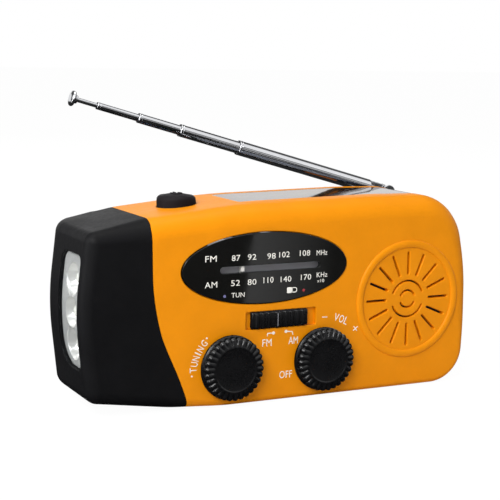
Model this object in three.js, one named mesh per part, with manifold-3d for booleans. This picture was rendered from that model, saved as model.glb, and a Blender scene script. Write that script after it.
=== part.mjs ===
// Hand-crank emergency radio with solar panel, three-LED lamp and telescopic antenna.
// Units: millimetres. X runs along the length (lamp end at -X), Y is depth
// (dial face, the front, at -Y; crank side, the rear, at +Y), Z is up.
// Origin: centre of the base, Z = 0 on the base plane.
//
// Conventions: a span is [low, high]; a centre is the pair of coordinates across the
// named axis ([x, z] for Y, [x, y] for Z, [y, z] for X).
import * as THREE from 'three';
import { mergeVertices } from 'three/addons/utils/BufferGeometryUtils.js';
import Module from 'manifold-3d';

const wasm = await Module();
wasm.setup();

const { clamp, degToRad, euclideanModulo, smoothstep } = THREE.MathUtils;

// ---------- driving dimensions ----------
const FAR = 70; // beyond the body on every side, for cutting tools
const BODY = { halfDepth: 19.3, wall: 2.0, planRadius: 14 };
const PARTING = { y: -1.5, halfGap: 0.05 }; // plane between the front and rear shells

// Body outline in the X-Z plane, anticlockwise as drawn with X right and Z up:
// x, z, corner radius, edge radius at the front, edge radius at the back, corner steps
const OUTLINE = [
  [-61.8, 4.2, 4.0, 4.0, 5.0, 3],
  [-36, 0.5, 60, 3.6, 4.0, 1],
  [-20, 0, 140, 1.8, 2.5, 1],
  [59.6, 0, 11.5, 1.8, 2.5, 5],
  [63.0, 28.5, 120, 4.5, 4.5, 3],
  [58.3, 57.6, 15.5, 6.3, 6.3, 5],
  [30, 58.1, 200, 6.5, 6.5, 1],
  [-14, 57.3, 200, 6.5, 6.5, 1],
  [-43.3, 54.4, 60, 6.0, 6.0, 1],
  [-62.0, 51.1, 3.3, 3.5, 5.0, 3],
  [-64.6, 29, 80, 3.5, 5.5, 3],
].map(([x, z, radius, frontEdge, backEdge, steps]) => ({ x, z, radius, frontEdge, backEdge, steps }));

// Boundary between the lamp housing and the two coloured shells: x, z
const LAMP_BOUNDARY = [
  [-32.6, -6], [-32.8, 0], [-33.1, 2.7], [-35.6, 9.5], [-38.6, 16.3], [-40.7, 21.5], [-42.1, 26.9],
  [-43.0, 32], [-43.5, 37.2], [-43.7, 45], [-43.8, 51.4], [-43.5, 54], [-43.3, 64],
];
const DIAL = { centre: [-8.7, 39.3], halfLength: 26.45, halfHeight: 10.4 };
const TRACK = { x: [-23.4, 8.7], z: DIAL.centre[1], height: 2.0 };
const GRILLE = {
  centre: [39.4, 27.0], slotInner: 7.3, slotOuter: 14.5, slotWidth: 1.0, arcRadii: [5.5, 2.6],
  ridgeInner: 15.7, ridgeOuter: 17.8,
};
const KNOB = { skirtRadius: 9.35, rimRadius: 9.25, grooveRadius: 8.7, flutes: 24, faceY: -23.5 };
const TUNING = [-19.8, 11.4]; // knob axes: x, z
const VOLUME = [9.95, TUNING[1]];
const BAND = { x: [-15.0, 7.8], z: [21.56, 26.8], floorY: -18.2, sliderX: [-13.2, 4.8] };
const BUTTON = { centre: [-28.5, 0], radius: 5.65, top: 58.3 };
const PANEL = { x: [-13, 50], y: [-9.5, 10.5] };
const ANTENNA = { x: 52.0, y: 15.5, pivotZ: 55.7, elevation: 15.8 }; // elevation in degrees
const ANTENNA_AXIS = [ANTENNA.x, ANTENNA.y];
const REBATE = { y: 12.7, z: 53.0 }; // rest for the folded antenna
const CRANK = {
  centre: [-2, 28.75], hingeX: -6, hingeY: 19.6,
  arm: 42, width: 9, thickness: 3.2, knobRadius: 5.6, knobLength: 12.5,
};
const LAMP = { y: [-15.5, 0.4], z: [12.8, 45.0], axisY: -7.6, dishZ: [19.2, 28.4, 37.6] };
const DOOR = { x: [-36.5, -13.5], z: [14, 46], screw: [-25, 16.2] };
const SCREWS = [[-30.5, 8], [54, 8], [55.5, 40.5], [-14.5, 49.8]]; // shell screws: x, z

// Gear tooth shape; addendum and dedendum are in modules
const TOOTH = { addendum: 0.7, dedendum: 0.98, pressureAngle: degToRad(20), backlash: 0.12 };
const RACK = { module: 0.7, teeth: 20, pointerX: -16.0, y: [-13, -11] };
const CRANK_STAGE = { module: 0.8, wheel: 30, pinion: 10, y: [8.3, 10.3], direction: degToRad(35) };
const GENERATOR_STAGE = { module: 0.6, wheel: 28, pinion: 10, y: [5.6, 7.6], direction: degToRad(20) };

// ---------- spans and plane outlines ----------
const around = (centre, half) => [centre - half, centre + half];
const shrink = ([low, high], gap) => [low + gap, high - gap];
const middle = ([low, high]) => (low + high) / 2;
const polar = ([x, z], radius, angle) =>
  [x + radius * Math.cos(angle), z + radius * Math.sin(angle)];
const arc = (centre, radius, start, sweep, steps) =>
  Array.from({ length: steps + 1 }, (_, i) => polar(centre, radius, start + sweep * i / steps));

const ellipse = ([x, z], a, b, count) => Array.from({ length: count }, (_, i) => {
  const angle = 2 * Math.PI * i / count;
  return [x + a * Math.cos(angle), z + b * Math.sin(angle)];
});
const circle = (centre, radius, count) => ellipse(centre, radius, radius, count);

// Round-ended bar from one end centre to the other.
function stadium(from, to, radius, steps) {
  const angle = Math.atan2(to[1] - from[1], to[0] - from[0]);
  return [
    ...arc(to, radius, angle - Math.PI / 2, Math.PI, steps),
    ...arc(from, radius, angle + Math.PI / 2, Math.PI, steps),
  ];
}

// Rectangle with rounded corners; radii run anticlockwise from the high-x, low-z corner.
function roundRect([x0, x1], [z0, z1], radii, steps) {
  const [a, b, c, d] = Array.isArray(radii) ? radii : [radii, radii, radii, radii];
  const quarter = (centre, radius, degrees) =>
    arc(centre, radius, degToRad(degrees), Math.PI / 2, steps);
  return [
    ...quarter([x1 - a, z0 + a], a, -90),
    ...quarter([x1 - b, z1 - b], b, 0),
    ...quarter([x0 + c, z1 - c], c, 90),
    ...quarter([x0 + d, z0 + d], d, 180),
  ];
}

// Involute spur gear with stub teeth; phase is the angle of one tooth centre.
function gear(centre, module, teeth, phase) {
  const pitchRadius = module * teeth / 2;
  const baseRadius = pitchRadius * Math.cos(TOOTH.pressureAngle);
  const involute = angle => Math.tan(angle) - angle;
  const roll = r => (r <= baseRadius ? 0 : involute(Math.acos(baseRadius / r)));
  const halfTooth = Math.PI / (2 * teeth) - TOOTH.backlash / (2 * pitchRadius);
  const halfAngle = r => halfTooth + involute(TOOTH.pressureAngle) - roll(r);
  const radii = [
    pitchRadius - TOOTH.dedendum * module, pitchRadius, pitchRadius + TOOTH.addendum * module,
  ];
  const points = [];
  for (let k = 0; k < teeth; k++) {
    const angle = phase + 2 * Math.PI * k / teeth;
    for (const r of radii) points.push(polar(centre, r, angle - halfAngle(r)));
    for (const r of [...radii].reverse()) points.push(polar(centre, r, angle + halfAngle(r)));
  }
  return points;
}

// ---------- solids ----------
// Closed manifold from a geometry: welded, without collapsed triangles, facing outwards.
function solid(source) {
  const bare = source.clone();
  for (const name of Object.keys(bare.attributes)) {
    if (name !== 'position') bare.deleteAttribute(name);
  }
  const welded = mergeVertices(bare, 1e-5);
  const p = welded.attributes.position.array;
  const index = welded.index.array;
  const triangles = [];
  let volume = 0;
  for (let i = 0; i < index.length; i += 3) {
    const [a, b, c] = [index[i], index[i + 1], index[i + 2]];
    if (a === b || b === c || a === c) continue;
    triangles.push(a, b, c);
    const [A, B, C] = [3 * a, 3 * b, 3 * c];
    volume += p[A] * (p[B + 1] * p[C + 2] - p[B + 2] * p[C + 1])
      - p[A + 1] * (p[B] * p[C + 2] - p[B + 2] * p[C])
      + p[A + 2] * (p[B] * p[C + 1] - p[B + 1] * p[C]);
  }
  if (volume < 0) {
    for (let i = 0; i < triangles.length; i += 3) {
      [triangles[i + 1], triangles[i + 2]] = [triangles[i + 2], triangles[i + 1]];
    }
  }
  return new wasm.Manifold(new wasm.Mesh({
    numProp: 3, vertProperties: Float32Array.from(p), triVerts: Uint32Array.from(triangles),
  }));
}

const join = (...parts) => parts.reduce((a, b) => a.add(b));
const cut = (part, ...tools) => tools.reduce((a, b) => a.subtract(b), part);

const box = (x, y, z) => solid(
  new THREE.BoxGeometry(x[1] - x[0], y[1] - y[0], z[1] - z[0])
    .translate(middle(x), middle(y), middle(z)));

const cylinder = (radius, [low, high], count) =>
  new THREE.CylinderGeometry(radius, radius, high - low, count);
const cylX = ([y, z], radius, span, count) => solid(
  cylinder(radius, span, count).rotateZ(-Math.PI / 2).translate(middle(span), y, z));
const cylY = ([x, z], radius, span, count) => solid(
  cylinder(radius, span, count).translate(x, middle(span), z));
const cylZ = ([x, y], radius, span, count) => solid(
  cylinder(radius, span, count).rotateX(Math.PI / 2).translate(x, y, middle(span)));

// Turned parts: profile points are radius, position along the axis.
const lathe = (profile, count) =>
  new THREE.LatheGeometry(profile.map(([r, along]) => new THREE.Vector2(r, along)), count);
const latheX = ([y, z], profile, count) => solid(
  lathe(profile, count).rotateZ(-Math.PI / 2).translate(0, y, z));
const latheY = ([x, z], profile, count) => solid(lathe(profile, count).translate(x, 0, z));
const latheZ = ([x, y], profile, count) => solid(
  lathe(profile, count).rotateX(Math.PI / 2).translate(x, y, 0));

const vectors = points => points.map(([x, y]) => new THREE.Vector2(x, y));
function extrude(outline, [low, high], holes = []) {
  const shape = new THREE.Shape(vectors(outline));
  for (const hole of holes) shape.holes.push(new THREE.Path(vectors(hole)));
  return new THREE.ExtrudeGeometry(shape, { depth: high - low, bevelEnabled: false });
}
// Axis changes: drawing x, y, depth become y, z, x and x, z, -y.
const TO_YZ = new THREE.Matrix4(0, 0, 1, 0, 1, 0, 0, 0, 0, 1, 0, 0, 0, 0, 0, 1);
const TO_XZ = new THREE.Matrix4(1, 0, 0, 0, 0, 0, -1, 0, 0, 1, 0, 0, 0, 0, 0, 1);
const prismX = (outline, span) => solid(
  extrude(outline, span).applyMatrix4(TO_YZ).translate(span[0], 0, 0));
const prismY = (outline, span, holes) => solid(
  extrude(outline, span, holes).applyMatrix4(TO_XZ).translate(0, span[1], 0));
const prismZ = (outline, span) => solid(extrude(outline, span).translate(0, 0, span[0]));

// Cross-shaped driver slot for a screw lying along Y.
const crossSlot = ([x, z], y, reach, halfWidth) => [
  box(around(x, reach), y, around(z, halfWidth)),
  box(around(x, halfWidth), y, around(z, reach)),
];

// ---------- body surface ----------
const unit = ([x, z]) => {
  const length = Math.hypot(x, z);
  return [x / length, z / length];
};
const along = ([x, z], [dx, dz], distance) => [x + dx * distance, z + dz * distance];
const distance = (a, b) => Math.hypot(b[0] - a[0], b[1] - a[1]);

// Rounded corner of the outline, drawn inwards by inset.
function cornerArc(index, inset) {
  const count = OUTLINE.length;
  const here = OUTLINE[index];
  const before = OUTLINE[(index + count - 1) % count];
  const after = OUTLINE[(index + 1) % count];
  const toBefore = [before.x - here.x, before.z - here.z];
  const toAfter = [after.x - here.x, after.z - here.z];
  const shorter = Math.min(Math.hypot(...toBefore), Math.hypot(...toAfter));
  const a = unit(toBefore);
  const b = unit(toAfter);
  const half = Math.acos(clamp(a[0] * b[0] + a[1] * b[1], -1, 1)) / 2;
  // the arc may take just under half of the shorter side
  const fitted = Math.min(here.radius, 0.499 * shorter * Math.tan(half));
  const radius = Math.max(fitted - inset, 0.12);
  const bisector = unit([a[0] + b[0], a[1] + b[1]]);
  const vertex = along([here.x, here.z], bisector, inset / Math.sin(half));
  const centre = along(vertex, bisector, radius / Math.sin(half));
  const angleTo = side => {
    const touch = along(vertex, side, radius / Math.tan(half));
    return Math.atan2(touch[1] - centre[1], touch[0] - centre[0]);
  };
  const start = angleTo(a);
  const sweep = euclideanModulo(angleTo(b) - start + Math.PI, 2 * Math.PI) - Math.PI;
  return arc(centre, radius, start, sweep, here.steps);
}

// Extra points on each straight side, one for every 24 mm.
const SIDE_POINTS = OUTLINE.map((_, i) => {
  const next = cornerArc((i + 1) % OUTLINE.length, 0);
  return Math.floor(distance(cornerArc(i, 0).at(-1), next[0]) / 24);
});

// One closed loop of the rounded body on the front (side -1) or back (side 1) edge;
// angle is 0 at the side wall and a quarter turn on the face.
function bodyRing(inset, angle, side) {
  const radii = OUTLINE.map(v => Math.max((side < 0 ? v.frontEdge : v.backEdge) - inset, 0.3));
  const corners = radii.map((r, i) => cornerArc(i, inset + r * (1 - Math.cos(angle))));
  const yAt = r => side * (BODY.halfDepth - inset - r * (1 - Math.sin(angle)));
  const points = [];
  corners.forEach((corner, i) => {
    const j = (i + 1) % corners.length;
    for (const [x, z] of corner) points.push([x, yAt(radii[i]), z]);
    const end = corner.at(-1);
    const next = corners[j][0];
    for (let k = 1; k <= SIDE_POINTS[i]; k++) {
      const f = k / (SIDE_POINTS[i] + 1);
      points.push([
        end[0] + (next[0] - end[0]) * f,
        yAt(radii[i] + (radii[j] - radii[i]) * f),
        end[1] + (next[1] - end[1]) * f,
      ]);
    }
  });
  return points;
}

// Large plan rounding at the back of the lamp end, fading out along the length.
function roundPlan([x, y, z], inset) {
  const radius = BODY.planRadius - inset;
  const depth = clamp(y - (BODY.halfDepth - BODY.planRadius), 0, radius);
  const shift = radius - Math.sqrt(Math.max(radius * radius - depth * depth, 0));
  return [x + shift * smoothstep(-x, 40, 64), y, z];
}

// Whole body, drawn inwards by inset.
function body(inset) {
  const edgeSteps = 3;
  const quarter = Math.PI / 2;
  const rings = [];
  for (let k = 0; k <= edgeSteps; k++) {
    rings.push(bodyRing(inset, quarter * (1 - k / edgeSteps), -1));
  }
  const wallRing = bodyRing(inset, 0, 1);
  const bendY = BODY.halfDepth - BODY.planRadius;
  for (const limit of [bendY, bendY + 4, bendY + 7]) {
    rings.push(wallRing.map(([x, y, z]) => [x, Math.min(limit, y - 0.3), z]));
  }
  for (let k = 0; k <= edgeSteps; k++) rings.push(bodyRing(inset, quarter * k / edgeSteps, 1));

  const count = wallRing.length;
  const points = rings.flat().map(point => roundPlan(point, inset));
  const index = [];
  for (let r = 0; r + 1 < rings.length; r++) {
    for (let i = 0; i < count; i++) {
      const a = r * count + i;
      const b = r * count + (i + 1) % count;
      index.push(a, b, b + count, a, b + count, a + count);
    }
  }
  const addFace = (first, isBack) => {
    const centre = [0, 0, 0];
    for (let i = 0; i < count; i++) {
      for (let k = 0; k < 3; k++) centre[k] += points[first + i][k] / count;
    }
    const middleIndex = points.push(centre) - 1;
    for (let i = 0; i < count; i++) {
      const here = first + i;
      const next = first + (i + 1) % count;
      index.push(middleIndex, ...(isBack ? [here, next] : [next, here]));
    }
  };
  addFace(0, false);
  addFace((rings.length - 1) * count, true);

  const surface = new THREE.BufferGeometry();
  surface.setAttribute('position', new THREE.Float32BufferAttribute(points.flat(), 3));
  surface.setIndex(index);
  return solid(surface);
}

const OUTER = body(0);
const inBody = part => part.intersect(OUTER);
const layer = (outerInset, innerInset) => cut(body(outerInset), body(innerInset));
const lampRegion = offset => prismY(
  [[-FAR, -6], ...LAMP_BOUNDARY.map(([x, z]) => [x + offset, z]), [-FAR, 64]].reverse(),
  [-FAR, FAR]);

// ---------- materials ----------
const standard = settings => new THREE.MeshStandardMaterial(settings);
const MAT = {
  orange: standard({ color: 0xf29a13, roughness: 0.5 }),
  black: standard({ color: 0x1e1e20, roughness: 0.6 }),
  gloss: standard({ color: 0x101012, roughness: 0.15 }),
  knob: standard({ color: 0x17171a, roughness: 0.55 }),
  clear: standard({ color: 0xdfe6ea, roughness: 0.05, transparent: true, opacity: 0.4 }),
  mirror: standard({ color: 0xe8e8e8, roughness: 0.1, metalness: 1 }),
  chrome: standard({ color: 0xd9d9dc, roughness: 0.15, metalness: 1 }),
  led: standard({ color: 0xf4f4e4, roughness: 0.1 }),
  board: standard({ color: 0x1d6b3c, roughness: 0.5 }),
  steel: standard({ color: 0xb4b4b8, roughness: 0.35, metalness: 1 }),
  brass: standard({ color: 0xc49a4a, roughness: 0.35, metalness: 1 }),
  white: standard({ color: 0xe9e6dc, roughness: 0.5 }),
  grey: standard({ color: 0x77777c, roughness: 0.5 }),
  cell: standard({ color: 0x1b2345, roughness: 0.3 }),
  rod: standard({ color: 0x3a3a3c, roughness: 0.8 }),
  copper: standard({ color: 0xb26a34, roughness: 0.4, metalness: 0.8 }),
  paper: standard({ color: 0x2b2926, roughness: 0.9 }),
  battery: standard({ color: 0x2f6fb3, roughness: 0.5 }),
  rubber: standard({ color: 0x1b1b1b, roughness: 0.85 }),
};

const radio = new THREE.Group();
function piece(name, material, part, parent = radio) {
  const { vertProperties, triVerts } = part.getMesh();
  const geometry = new THREE.BufferGeometry();
  geometry.setAttribute('position',
    new THREE.BufferAttribute(Float32Array.from(vertProperties), 3));
  geometry.setIndex(new THREE.BufferAttribute(Uint32Array.from(triVerts), 1));
  geometry.computeVertexNormals();
  const mesh = new THREE.Mesh(geometry, material);
  mesh.name = name;
  parent.add(mesh);
}

// ---------- body shells ----------
const rebateCut = box([-FAR, FAR], [REBATE.y, FAR], [REBATE.z, FAR]);
const skin = cut(
  join(cut(OUTER, body(BODY.wall)), inBody(join(
    box([-64, 64], [REBATE.y - 1.2, 21], [REBATE.z - 1.6, 60]), // antenna ledge
    box([ANTENNA.x - 7, 64], [9.8, 21], [45, 60])))), // post for the antenna bush
  rebateCut,
  cylZ(ANTENNA_AXIS, 4.2, [REBATE.z, FAR], 24),
  cylZ(ANTENNA_AXIS, 2.4, [40, FAR], 20));
const coloured = cut(skin, lampRegion(0.15));

// Openings in the top, shared by both shells
const topZ = [50, 62];
const topCuts = [
  layer(-0.5, 1.35).intersect(box(PANEL.x, PANEL.y, topZ)), // panel seat
  box(shrink(PANEL.x, 1.5), shrink(PANEL.y, 1.5), topZ),
  cylZ(BUTTON.centre, BUTTON.radius + 0.25, [45, 65], 28),
];

const throughFront = [-FAR, -15]; // Y span of cuts through the front wall
function grilleSlots() {
  const { centre, slotInner, slotOuter, slotWidth, arcRadii } = GRILLE;
  const half = slotWidth / 2;
  const slots = [];
  for (let k = 0; k < 16; k++) {
    const angle = Math.PI / 2 + k * Math.PI / 8;
    const from = polar(centre, slotInner + half, angle);
    const to = polar(centre, slotOuter - half, angle);
    slots.push(prismY(stadium(from, to, half, 1), throughFront));
  }
  for (const radius of arcRadii) {
    for (const start of [degToRad(20), degToRad(200)]) {
      const sweep = degToRad(140);
      slots.push(prismY([
        ...arc(centre, radius + half, start, sweep, 5),
        ...arc(centre, radius - half, start, sweep, 5).reverse(),
      ], throughFront));
    }
  }
  return slots;
}
const dialOutline = (endGap, edgeGap = endGap) =>
  ellipse(DIAL.centre, DIAL.halfLength - endGap, DIAL.halfHeight - edgeGap, 36);

const frontFaceY = -BODY.halfDepth;
piece('front_shell', MAT.orange, cut(
  join(
    coloured.intersect(box([-FAR, FAR], [-FAR, PARTING.y - PARTING.halfGap], [-5, FAR])),
    prismY(circle(GRILLE.centre, GRILLE.ridgeOuter, 32), [frontFaceY - 0.45, frontFaceY + 0.5],
      [circle(GRILLE.centre, GRILLE.ridgeInner, 32).reverse()]),
    ...SCREWS.map(at => cylY(at, 2.6, [frontFaceY + 1, -PARTING.halfGap], 8))),
  ...grilleSlots(),
  prismY(dialOutline(0), [-FAR, -18.3]), // dial seat
  prismY(dialOutline(1.3, 1.2), throughFront),
  prismY(roundRect(BAND.x, BAND.z, 0.4, 2), [-FAR, BAND.floorY]), // slider recess
  box([-7.6, 0.4], throughFront, [22.5, 25.9]), // slot in the recess
  cylY(TUNING, 2.8, throughFront, 20),
  cylY(VOLUME, 2.8, throughFront, 20),
  ...SCREWS.map(at => cylY(at, 1.35, [-12, 5], 6)),
  ...topCuts));

const [crankX, crankZ] = CRANK.centre;
const pocketX = CRANK.hingeX + CRANK.arm; // crank knob pocket, one arm length from the hinge
const pocket = [pocketX, crankZ];
const troughY = [15.7, FAR];
const PORTS = { // openings in the +X wall
  coverY: [1.0, 12.7], coverZ: [13.4, 39.2],
  usbY: [3.8, 9.9], usbZ: [14.3, 27.8], chargeY: [5.3, 8.5], chargeZ: [28.9, 37.0],
};
piece('rear_shell', MAT.orange, cut(
  join(
    coloured.intersect(box([-FAR, FAR], [PARTING.y + PARTING.halfGap, FAR], [-5, FAR])),
    inBody(cylY(CRANK.centre, 11, [10.8, 19], 24)), // hub recess wall
    inBody(box([crankX, 47.5], [14.2, 19], around(crankZ, 6.9))), // arm trough
    inBody(cylY(pocket, 8.4, [1.8, 19], 20)),
    ...SCREWS.map(at => inBody(cylY(at, 3.5, [PARTING.halfGap, 18], 10))),
    inBody(box([58.6, 64], [0.2, 14.2], [12, 40.6])), // seat behind the port cover
    inBody(cylY(DOOR.screw, 2.4, [10.5, 18], 12))),
  rebateCut,
  cylY(CRANK.centre, 9.6, [12.3, FAR], 28),
  cylY(CRANK.centre, 2.8, [5, 15], 20),
  box([crankX, pocketX], troughY, around(crankZ, 5.1)),
  prismY(stadium(pocket, [pocketX + 3.5, crankZ], 5.1, 8), troughY),
  cylY(pocket, 6.9, [3.0, FAR], 24),
  prismY(roundRect(DOOR.x, DOOR.z, 2, 3), [17.6, FAR]),
  box(shrink(DOOR.x, 1.5), [15, FAR], [19, DOOR.z[1] - 1.5]),
  cylY(DOOR.screw, 1.15, [11.5, FAR], 10),
  ...SCREWS.map(at => cylY(at, 2.6, [7, FAR], 12)),
  ...SCREWS.map(at => cylY(at, 1.5, [-1, 10], 8)),
  box([60.3, FAR], PORTS.coverY, PORTS.coverZ),
  box([58, FAR], PORTS.usbY, PORTS.usbZ),
  box([55, FAR], PORTS.chargeY, PORTS.chargeZ),
  ...topCuts));

// ---------- lamp end ----------
const lensOutline = gap => roundRect(shrink(LAMP.y, gap), shrink(LAMP.z, gap),
  [7.5, 3.5, 2.5, 3.0].map(radius => radius - gap), 4);
const DISH_PROFILE = [[0, -61], [4.4, -61], [4.4, -60], [2.75, -56], [2.75, -54], [0, -54]];
const LED_PROFILE = [
  [0, -58.9], [1.2, -58.6], [2.1, -57.7], [2.45, -56.5],
  [2.45, -54.7], [2.9, -54.7], [2.9, -53.7], [0, -53.7],
];
piece('lamp_housing', MAT.black,
  cut(skin.intersect(lampRegion(0)), prismX(lensOutline(0), [-80, -55])));
piece('lamp_lens', MAT.clear, layer(0.1, 1.6).intersect(prismX(lensOutline(0.25), [-80, -56])));
piece('lamp_reflector', MAT.mirror, cut(
  box([-60.0, -55.0], shrink(LAMP.y, 0.6), shrink(LAMP.z, 0.8)),
  ...LAMP.dishZ.map(z => latheX([LAMP.axisY, z], DISH_PROFILE, 16))));
LAMP.dishZ.forEach((z, i) =>
  piece(`led_${i + 1}`, MAT.led, latheX([LAMP.axisY, z], LED_PROFILE, 10)));
piece('led_board', MAT.board, box([-53.5, -52.3], [-15.2, 0.2], [12.5, 46]));

// ---------- top: button, switch, solar panel ----------
piece('lamp_button', MAT.knob, latheZ(BUTTON.centre, [
  [0, 52.0], [6.6, 52.0], [6.6, 52.8], [BUTTON.radius, 52.8], [BUTTON.radius, 57.2],
  [5.2, 57.9], [4.0, BUTTON.top], [0, BUTTON.top + 0.1],
], 22));
piece('lamp_switch', MAT.black, join(
  box([-32, -25], [-3.5, 3.5], [45, 49.8]),
  cylZ(BUTTON.centre, 1.5, [49.5, 50.7], 12)));
piece('solar_window', MAT.clear,
  layer(0.12, 1.2).intersect(box(shrink(PANEL.x, 0.2), shrink(PANEL.y, 0.2), topZ)));
piece('solar_cell', MAT.cell,
  box([PANEL.x[0] + 2.2, PANEL.x[1] - 3.2], shrink(PANEL.y, 2.2), [54.5, 55.5]));

// ---------- dial ----------
const [trackLow, trackHigh] = shrink(TRACK.x, TRACK.height / 2);
piece('dial_lens', MAT.gloss, cut(
  join(prismY(dialOutline(0.2), [-19.35, -18.35]), prismY(dialOutline(0.8), [-19.6, -19.2])),
  prismY(stadium([trackLow, TRACK.z], [trackHigh, TRACK.z], TRACK.height / 2, 6), [-22, -15])));
piece('dial_plate', MAT.grey, prismY(roundRect([-25.5, 10.5], [37.2, 46.9], 1, 2), [-17.1, -16.4]));

// Toothed bar above the tuning pinion, teeth pointing down.
function rackOutline() {
  const { module, teeth, pointerX } = RACK;
  const pitch = Math.PI * module;
  const pitchZ = TUNING[1] + module * teeth / 2;
  const rootZ = pitchZ + TOOTH.dedendum * module;
  const tipZ = pitchZ - TOOTH.addendum * module;
  const slope = Math.tan(TOOTH.pressureAngle);
  const halfPitchLine = pitch / 4 - TOOTH.backlash / 2;
  const halfRoot = halfPitchLine + TOOTH.dedendum * module * slope;
  const halfTip = halfPitchLine - TOOTH.addendum * module * slope;
  const points = [[pointerX - 28, rootZ]];
  for (let k = -20; k <= 20; k++) {
    const x = TUNING[0] + (k + 0.5) * pitch;
    if (x < pointerX - 27 || x > pointerX + 4.2) continue;
    points.push([x - halfRoot, rootZ], [x - halfTip, tipZ], [x + halfTip, tipZ],
      [x + halfRoot, rootZ]);
  }
  points.push([pointerX + 5.5, rootZ], [pointerX + 5.5, 21.0], [pointerX - 28, 21.0]);
  return points;
}
const pointerBar = (half, y, z) => box(around(RACK.pointerX, half), y, z);
piece('dial_pointer', MAT.white, join(
  prismY(rackOutline(), RACK.y),
  pointerBar(1.1, [-12.6, -11.4], [20.5, 35.2]),
  pointerBar(0.8, [-18.1, -12.2], [33.6, 35.2]),
  pointerBar(0.5, [-18.1, -17.5], [34.5, 39.2]),
  pointerBar(0.5, [-18.9, -17.5], [38.55, 40.05])));
piece('tuning_pinion', MAT.white, cut(
  prismY(gear(TUNING, RACK.module, RACK.teeth, Math.PI / 2), RACK.y),
  cylY(TUNING, 2.55, [-15, -8], 16)));

// ---------- knobs, slider, electronics ----------
function knob(centre) {
  const pitch = 2 * Math.PI / KNOB.flutes;
  const rim = [];
  for (let i = 0; i < KNOB.flutes; i++) {
    const angle = i * pitch;
    rim.push(
      polar(centre, KNOB.rimRadius, angle - 0.22 * pitch),
      polar(centre, KNOB.rimRadius, angle + 0.22 * pitch),
      polar(centre, KNOB.grooveRadius, angle + 0.5 * pitch));
  }
  const cap = join(
    cylY(centre, KNOB.skirtRadius, [-20.9, -19.55], 28),
    prismY(rim, [KNOB.faceY, -20.5]));
  const dished = cut(cap, cylY(centre, 6.2, [-30, KNOB.faceY + 0.3], 20));
  return join(dished, cylY(centre, 2.5, [-20, -6.9], 16));
}
piece('tuning_knob', MAT.knob, knob(TUNING));
piece('volume_knob', MAT.knob, knob(VOLUME));

function bandSlider() {
  const ribZ = shrink(BAND.z, 0.45);
  const ribs = [];
  for (let k = 0; k < 9; k++) {
    if (k === 4) continue; // the taller middle rib is added below
    const x = BAND.sliderX[0] + 1.6 + k * 1.85;
    ribs.push(box(around(x, 0.38), [-20.3, -19.6], ribZ));
  }
  return join(
    box(BAND.sliderX, [-19.8, -18.4], shrink(BAND.z, 0.35)),
    ...ribs,
    box([-5.6, -4.8], [-20.4, -19.6], ribZ),
    box([-6, -2], [-18.5, -16.7], [22.8, 25.6])); // tongue through the shell slot
}
piece('band_slider', MAT.knob, bandSlider());
piece('band_switch', MAT.steel, box([-16.5, 9.5], [-16.4, -13.4], [20.9, 27.4]));
piece('main_board', MAT.board, cut(
  box([-27, 20], [-8.0, -6.8], [3.2, 46]),
  ...[TUNING, VOLUME].map(at => cylY(at, 3.2, [-10, -5], 18))));
piece('tuning_capacitor', MAT.white,
  box(around(TUNING[0], 7), [-6.5, 1.5], around(TUNING[1], 7)));
piece('volume_pot', MAT.steel, join(
  cylY(VOLUME, 6.4, [-6.5, -3.2], 20),
  box(around(VOLUME[0], 4), [-6.5, -5.2], [VOLUME[1] - 8.2, VOLUME[1]])));

// ---------- loudspeaker ----------
piece('speaker_frame', MAT.steel, latheY(GRILLE.centre, [
  [14.6, -17.15], [17, -17.15], [17, -16.1], [15.6, -15.4], [10.4, -10.2], [10.4, -9.9],
  [5, -9.9], [5, -10.6], [9.7, -10.6], [14.6, -15.6], [14.6, -17.15],
], 22));
piece('speaker_cone', MAT.paper, latheY(GRILLE.centre, [
  [0, -14.6], [2.6, -14.1], [4.4, -12.9], [14.2, -16.6], [14.2, -16.1], [4.4, -12.0],
  [4.4, -10.8], [3.9, -10.8], [3.9, -12.4], [2.3, -13.6], [0, -14.1],
], 18));
piece('speaker_magnet', MAT.steel,
  latheY(GRILLE.centre, [[0, -9.8], [9, -9.8], [9, -4.3], [0, -4.3]], 24));

// ---------- ferrite aerial, battery, door, screws ----------
const FERRITE_AXIS = [7.6, 50.3]; // y, z
piece('ferrite_rod', MAT.rod, cylX(FERRITE_AXIS, 3.0, [-8.5, 38], 16));
piece('antenna_coil', MAT.copper,
  cut(cylX(FERRITE_AXIS, 3.9, [24, 35], 18), cylX(FERRITE_AXIS, 3.1, [20, 40], 16)));
piece('battery', MAT.battery, cylZ([-25.4, 10.2], 5.8, [19.4, 45.4], 24));
piece('battery_door', MAT.orange, cut(
  prismY(roundRect(shrink(DOOR.x, 0.15), shrink(DOOR.z, 0.15), 1.9, 3), [17.7, 19.2]),
  cylY(DOOR.screw, 1.2, [15, 25], 12),
  cylY(DOOR.screw, 2.2, [18.3, 25], 16)));
piece('battery_door_screw', MAT.steel, cut(
  join(cylY(DOOR.screw, 2.0, [18.35, 19.15], 14), cylY(DOOR.screw, 1.05, [12, 18.6], 10)),
  ...crossSlot(DOOR.screw, [18.8, 20], 1.2, 0.2)));
SCREWS.forEach((at, i) => piece(`shell_screw_${i + 1}`, MAT.steel, cut(
  join(cylY(at, 2.3, [7.05, 8.6], 10), cylY(at, 1.1, [-9, 7.5], 6)),
  ...crossSlot(at, [8.0, 9], 1.4, 0.25))));

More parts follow.
